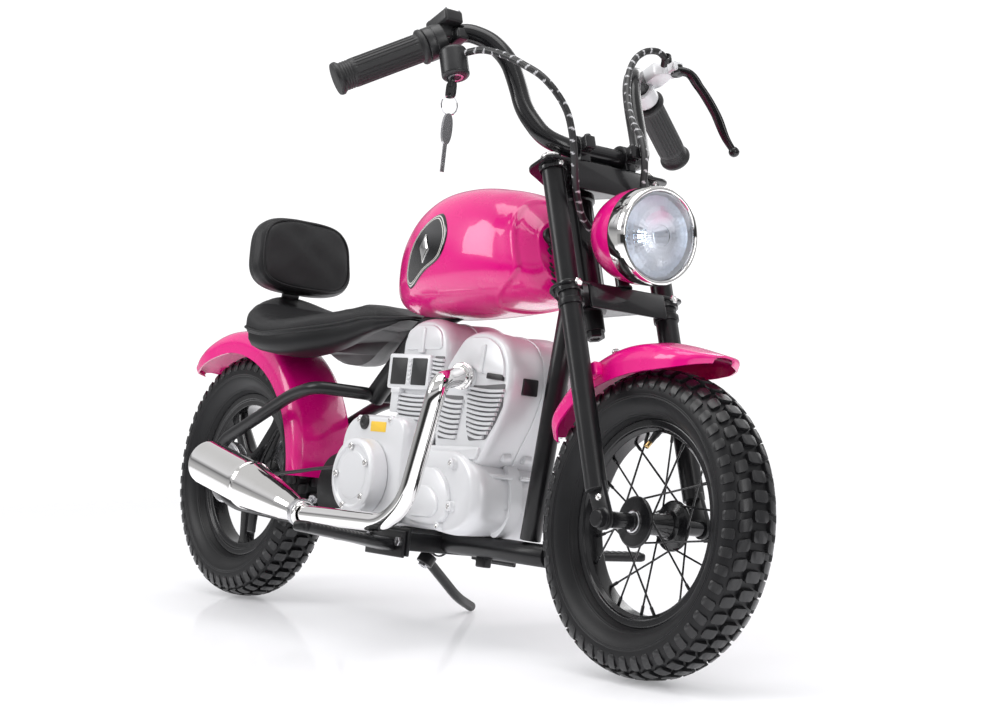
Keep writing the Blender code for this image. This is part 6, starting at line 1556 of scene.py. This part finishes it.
def lamp():
    """Pink bowl, chrome rim, clear lens with rings of small prisms, bright reflector and diode."""
    bowl = curve([(.006, -.0905), (.01, -.09), (.028, -.084), (.042, -.071), (.0505, -.054), (.0542, -.038),
                  (.0552, -.0262)], .0012)
    inner = bowl[::-1] + np.array([-.0022, .0012])
    inner[:, 0] = np.maximum(inner[:, 0], .004)
    piece("lamp_bowl", turned(np.vstack([bowl, inner]), 144, closed=True), PINK, "steering_group", LAMP,
          "headlight_bowl", sharp=60)
    rim = [(.051, -.0256), (.0552, -.0256), (.0564, -.012), (.0566, -.006), (.056, -.001), (.0545, .0024),
           (.0528, .0031), (.0512, .0026), (.05, .001), (.051, -.004)]
    piece("lamp_rim", wheel_of(rim, .001, 160, True, 4), CHROME, "steering_group", LAMP, "headlight_rim",
          sharp=60)
    r = np.concatenate([np.linspace(.0006, .0488, 66), [.0495, .0496]])
    z = .0008 + .0035 * (1 - (r / .0496) ** 2)
    outer = np.stack([r, z], -1)
    outer[-1, 1] = .0002
    inner = np.stack([r, z - .0018], -1)[::-1]
    inner[0, 1] = -.0012
    lens = turned(np.vstack([outer, inner]), 180, closed=False)
    angle = angles(180)
    ring = np.abs(((outer[:, 0] / .0062) % 1) - .5) * 2
    ribs = np.abs(((angle / (2 * np.pi) * 45) % 1) - .5) * 2
    within = (outer[:, 0] > .012) * (outer[:, 0] < .047)
    prism = (.55 * ring[:, None] + .45 * ribs[None]) * within[:, None]
    marks = np.concatenate([prism, prism[::-1]]).ravel()
    piece("lamp_lens", lens, LENS, "steering_group", LAMP, "headlight_lens", marks={"prism": marks}, sharp=60)
    bright = curve([(.0062, -.04), (.015, -.038), (.03, -.028), (.04, -.0185), (.044, -.01), (.0455, -.0056)],
                   .001)
    rows = bright[:, None] * np.ones((1, 144, 1))
    facet = .0005 * np.abs(((np.arange(144) / 6) % 1) - .5)[None] * 2
    radius = rows[..., 0] - facet
    turns = angles(144)
    front = np.stack([radius * np.cos(turns), radius * np.sin(turns), rows[..., 1]], -1)
    back = curve([(.0506, -.009), (.0475, -.009), (.044, -.017), (.032, -.031), (.016, -.042), (.004, -.044)],
                 .002)
    rear = np.stack([back[:, :1] * np.cos(turns), back[:, :1] * np.sin(turns), back[:, 1:] + 0 * turns], -1)
    flat = np.stack([.0506 * np.cos(turns), .0506 * np.sin(turns), 0 * turns - .0056], -1)[None]
    piece("lamp_reflector", skin(np.concatenate([front, flat, rear]), along=True), REFLECTOR,
          "steering_group", LAMP, ["headlight_reflector"], sharp=40)
    socket = wheel_of([(0, -.0395), (.0075, -.0395), (.0075, -.036), (.0055, -.035), (.0055, -.0325),
                       (0, -.0325)], .0005, 40)
    piece("lamp_socket", socket, STEEL, "steering_group", LAMP)
    piece("lamp_diode", moved(soft_box((.0058, .0058, .0026), .0008), shift(0, 0, -.0318)), DIODE,
          "steering_group", LAMP)
    post = wheel_of([(0, .0004), (.0105, .0004), (.0105, .0026), (.008, .003), (.008, .016), (0, .016)],
                    .0005, 40)
    piece("lamp_post", moved(post, shift(.059, 0, 0)), GLOSS_BLACK, "steering_group", STEERING)


lamp()


# Handlebar and controls

GRIP_END = np.array([.531, .262, .641])
GRIP_WAY = np.array([.3473, -.805, .4815])
GRIP_WAY /= np.linalg.norm(GRIP_WAY)
TO_RIGHT = np.array([1, -1, 1])
BAR_AHEAD = .053
BAR_HEIGHT = .173


def on_grip(side, run):
    """A place on the grip's axis, a distance in from its outer end, with Z pointing inward."""
    flip = np.array([1, 1 if side > 0 else -1, 1])
    return facing((GRIP_END + GRIP_WAY * run) * flip, GRIP_WAY * flip)


def handlebar():
    """The handlebar through eased corners, mirrored, and its two clamps."""
    half = np.array([(.7045, 0, .588), (.7045, .048, .588), (.69, .074, .597), (.664, .087, .628),
                     (.648, .089, .66), (.632, .094, .69), (.613, .11, .7105), (.596, .128, .7175),
                     (.5845, .138, .7152), (.58, .1485, .7089), (.5331, .2572, .6439)])
    line = np.vstack([(half * TO_RIGHT)[:0:-1], half])
    line = spaced(softened(line, .016, 8, closed=False), .004)
    piece("handlebar_tube", tube(line, .0111, 36, .0008), GLOSS_BLACK, "steering_group",
          stands_for="handlebar", sharp=60)
    for side, name in ((1, "bar_clamp_left"), (-1, "bar_clamp_right")):
        y = side * .034
        ring = wheel_of([(.0112, -.0075), (.0166, -.0075), (.0166, .0075), (.0112, .0075)], .0009, 48, True)
        base = moved(soft_box((.026, .015, .021), .0015), shift(BAR_AHEAD, y, .164))
        ear = moved(soft_box((.013, .014, .016), .0015), shift(BAR_AHEAD + .0195, y, BAR_HEIGHT))
        bolts = [moved(rod((0, 0, -.01), (0, 0, .0085), .0028, 20), shift(.0735, y, BAR_HEIGHT)),
                 moved(dome_screw(.0042, .003), shift(.0735, y, .1812))]
        piece(name + "_block", [moved(ring, shift(BAR_AHEAD, y, BAR_HEIGHT) @ turn(x=-90)), base,
                                ear] + bolts, GLOSS_BLACK, "steering_group", STEERING, [name], sharp=40)


def grip_rubber():
    """A rubber grip from its outer end: an end knob, a fluted body with four smooth bands and fine
    rings near the hand's heel, and an inner flange. The flutes lower the radius with the angle."""
    profile = [(.001, -.003), (.012, -.003), (.0188, -.002), (.0198, .0005), (.0198, .0032), (.018, .0052)]
    profile += [(.0172 - .0006 * (i % 2), .0064 + .0016 * i) for i in range(9)]
    profile += [(.0174, z) for z in np.linspace(.0225, .102, 40)]
    profile += [(.0174, .1045), (.0203, .106), (.0212, .1075), (.0212, .1105), (.0203, .112), (.0113, .112)]
    profile = softened(profile, .0003, 2, closed=False)
    angle = angles(168)
    inside = np.clip((profile[:, 1] - .021) / .004, 0, 1) * np.clip((.104 - profile[:, 1]) / .005, 0, 1)
    flute = np.clip(np.cos(angle * 24) * 1.6 - .2, 0, 1) * (np.abs(np.sin(angle * 2)) > .28)
    radius = profile[:, :1] - .001 * inside[:, None] * flute[None]
    ring = np.stack([radius * np.cos(angle), radius * np.sin(angle), profile[:, 1:] + 0 * angle], -1)
    return skin(ring, ends=True)


def controls():
    """Grips, throttle case with gauge and lock, brake perch and lever."""
    grip = grip_rubber()
    piece("left_grip_rubber", moved(grip, on_grip(1, 0)), GRIP, "steering_group", stands_for="left_grip",
          sharp=50)
    piece("throttle_grip_rubber", moved(grip, on_grip(-1, 0)), GRIP, "throttle", stands_for="throttle_grip",
          sharp=50)
    at = on_grip(-1, .1125)
    collar = wheel_of([(.0114, 0), (.0195, 0), (.0205, .001), (.0205, .0095), (.02, .01), (.02, .0108),
                       (.0205, .0113), (.0205, .023), (.0195, .024), (.0114, .024)], .0006, 64, True)
    spot = at[:3, 3] + at[:3, 2] * .012
    up = np.array([-.36812, 0, .92978])
    ahead = np.array([.92978, 0, .36812])
    box_place = np.eye(4)
    box_place[:3, :3] = np.array([ahead, [0, 1, 0], up]).T
    box_place[:3, 3] = spot + ahead * .012 + np.array([0, .009, 0]) + up * .022
    shell = moved(soft_box((.042, .026, .016), .0035, 5), box_place)
    neck = moved(soft_box((.024, .02, .02), .003), box_place @ shift(-.004, 0, -.012))
    lever = moved(soft_box((.018, .009, .004), .0015), box_place @ shift(-.008, -.015, -.0125))
    lock = wheel_of([(0, -.02), (.012, -.02), (.015, -.019), (.0165, -.017), (.0165, .013), (.015, .016),
                     (0, .016)], .0008, 56)
    lock_place = shift(.607, -.153, .676)
    lock_place[:3, :3] = box_place[:3, :3]
    arm = moved(soft_box((.026, .016, .014), .003), box_place @ shift(.006, .012, -.02))
    piece("throttle_case", [moved(collar, at), shell, neck, lever, moved(lock, lock_place), arm], PLASTIC,
          "steering_group", stands_for="throttle_housing", sharp=40)
    screws = [moved(dome_screw(.0022, .0014), box_place @ shift(x, y, .0078)) for x in (-.0175,
                  .0175) for y in (-.0095, .0095)]
    ring = wheel_of([(.006, -.0206), (.0088, -.0206), (.0088, -.0196), (.006, -.0196)], .0003, 40, True)
    piece("throttle_screws", screws + [moved(ring, lock_place)], STEEL, "steering_group", sharp=30)
    window = moved(soft_box((.024, .013, .001), .0004), box_place @ shift(0, 0, .008))
    piece("gauge_window", window, GLOSS_BLACK, "steering_group")
    lights = [moved(soft_box((.003, .005, .0008), .0003), box_place @ shift(x, 0, .0086)) for x in (-.0065, 0,
                  .0065)]
    piece("gauge_lights", lights, BRASS, "steering_group")

    at = on_grip(1, .115)
    collar = wheel_of([(.0114, 0), (.0163, 0), (.017, .001), (.017, .021), (.0163, .022), (.0114, .022)],
                      .0006, 56, True)
    base = box_place.copy()
    base[:3, 3] = (.5961, .1622, .7266)
    body = [(-.02, -.011), (.01, -.013), (.02, -.006), (.02, .007), (.008, .013), (-.012, .015), (-.02, .01)]
    block = moved(panel(body, .004, -.01, .01, .0025), base)
    pivot = np.array([.6224, .1722, .7306])
    knuckle = moved(soft_box((.024, .018, .014), .003), base @ shift(.021, .008, -.002))
    piece("perch_casting", [moved(collar, at), block, knuckle], SILVER, "steering_group",
          stands_for="brake_perch", sharp=40)
    pin = facing(pivot, up)
    screw = [moved(dome_screw(.0052, .0034), pin @ shift(0, 0, .0072)),
             moved(wheel_of([(.005, 0), (.0064, .0004), (.0064, .008), (.005, .0084)], .0004, 32, True),
                   facing((.6235, .153, .739), (.45, -.6, .5)))]
    piece("perch_screws", screw, GLOSS_BLACK, "steering_group", sharp=30)
    reach = curve([pivot, (.633, .18, .729), (.644, .193, .712), (.656, .213, .682), (.664, .23, .65),
                   (.6675, .24, .638)], .002)
    wide = np.interp(np.linspace(0, 1, len(reach)), [0, .12, .3, .7, .9, 1],
                     [.0085, .008, .0072, .0064, .0052, .0046])
    ball = wheel_of([(0, -.0068), (.004, -.0058), (.0064, -.0028), (.007, 0), (.0064, .0028), (.004, .0058),
                     (0, .0068)], .0015, 40)
    hub = wheel_of([(0, -.0055), (.0085, -.0055), (.0085, .0055), (0, .0055)], .0008, 40)
    piece("lever_blade", [tube(reach, wide, 24, .0008, across=up, flat=.62),
                          moved(ball, facing((.6675, .24, .638), (0, .6, -.8))), moved(hub, pin)],
          GLOSS_BLACK, "hand_lever", stands_for="brake_lever", sharp=50)


handlebar()
controls()


# Cables


def fluted(points, radius, gap=.0014, sides=16, turns=420.0):
    """A sleeved cable through points, with a fleck that winds round it as a helix."""
    line = curve(points, gap)
    shape = tube(line, radius, sides, 0)
    run = distance_along(line)
    phase = (np.arange(sides)[None] / sides + run[:, None] * turns / (2 * np.pi)) % 1
    broken = np.sin(run * 900)[:, None] > -.2
    fleck = ((np.abs(phase - .5) < .07) & broken).astype(float)
    return shape, fleck.ravel()


THROTTLE_CABLE = [(.624, -.149, .687), (.645, -.144, .689), (.668, -.14, .685), (.692, -.137, .678),
                  (.718, -.133, .667), (.742, -.125, .654), (.757, -.114, .637), (.763, -.1, .617),
                  (.763, -.09, .596), (.759, -.08, .572), (.75, -.068, .548), (.737, -.05, .524),
                  (.7265, -.03, .506), (.7262, -.014, .495), (.7346, -.0056, .4902)]
BRAKE_CABLE = [(.6203, .1515, .733), (.6262, .146, .7415), (.626, .137, .7465), (.624, .123, .7455),
               (.627, .105, .736), (.637, .086, .716), (.652, .072, .69), (.67, .062, .662),
               (.693, .053, .638), (.721, .045, .616), (.738, .04, .588), (.744, .037, .562),
               (.746, .034, .54), (.74, .03, .52), (.729, .024, .505), (.7262, .014, .495),
               (.7346, .0056, .4902)]
REAR_CABLE = [(.0696, -.05525, .1786), (.115, -.056, .173), (.19, -.057, .18), (.26, -.058, .189),
              (.3326, -.059, .196)]


def cables():
    """The two sleeved cables of the handlebar and the plain one at the rear brake."""
    for name, points in (("throttle_cable", THROTTLE_CABLE), ("brake_cable", BRAKE_CABLE)):
        shape, fleck = fluted(points, .0042)
        piece(name + "_sleeve", shape, SLEEVE, "steering_group", stands_for=[name], marks={"fleck": fleck},
              sharp=80)
    piece("rear_brake_cable_sleeve", tube(curve(REAR_CABLE, .002), .0025, 16, .0004), PLASTIC, "frame",
          stands_for="rear_brake_cable", sharp=60)


cables()
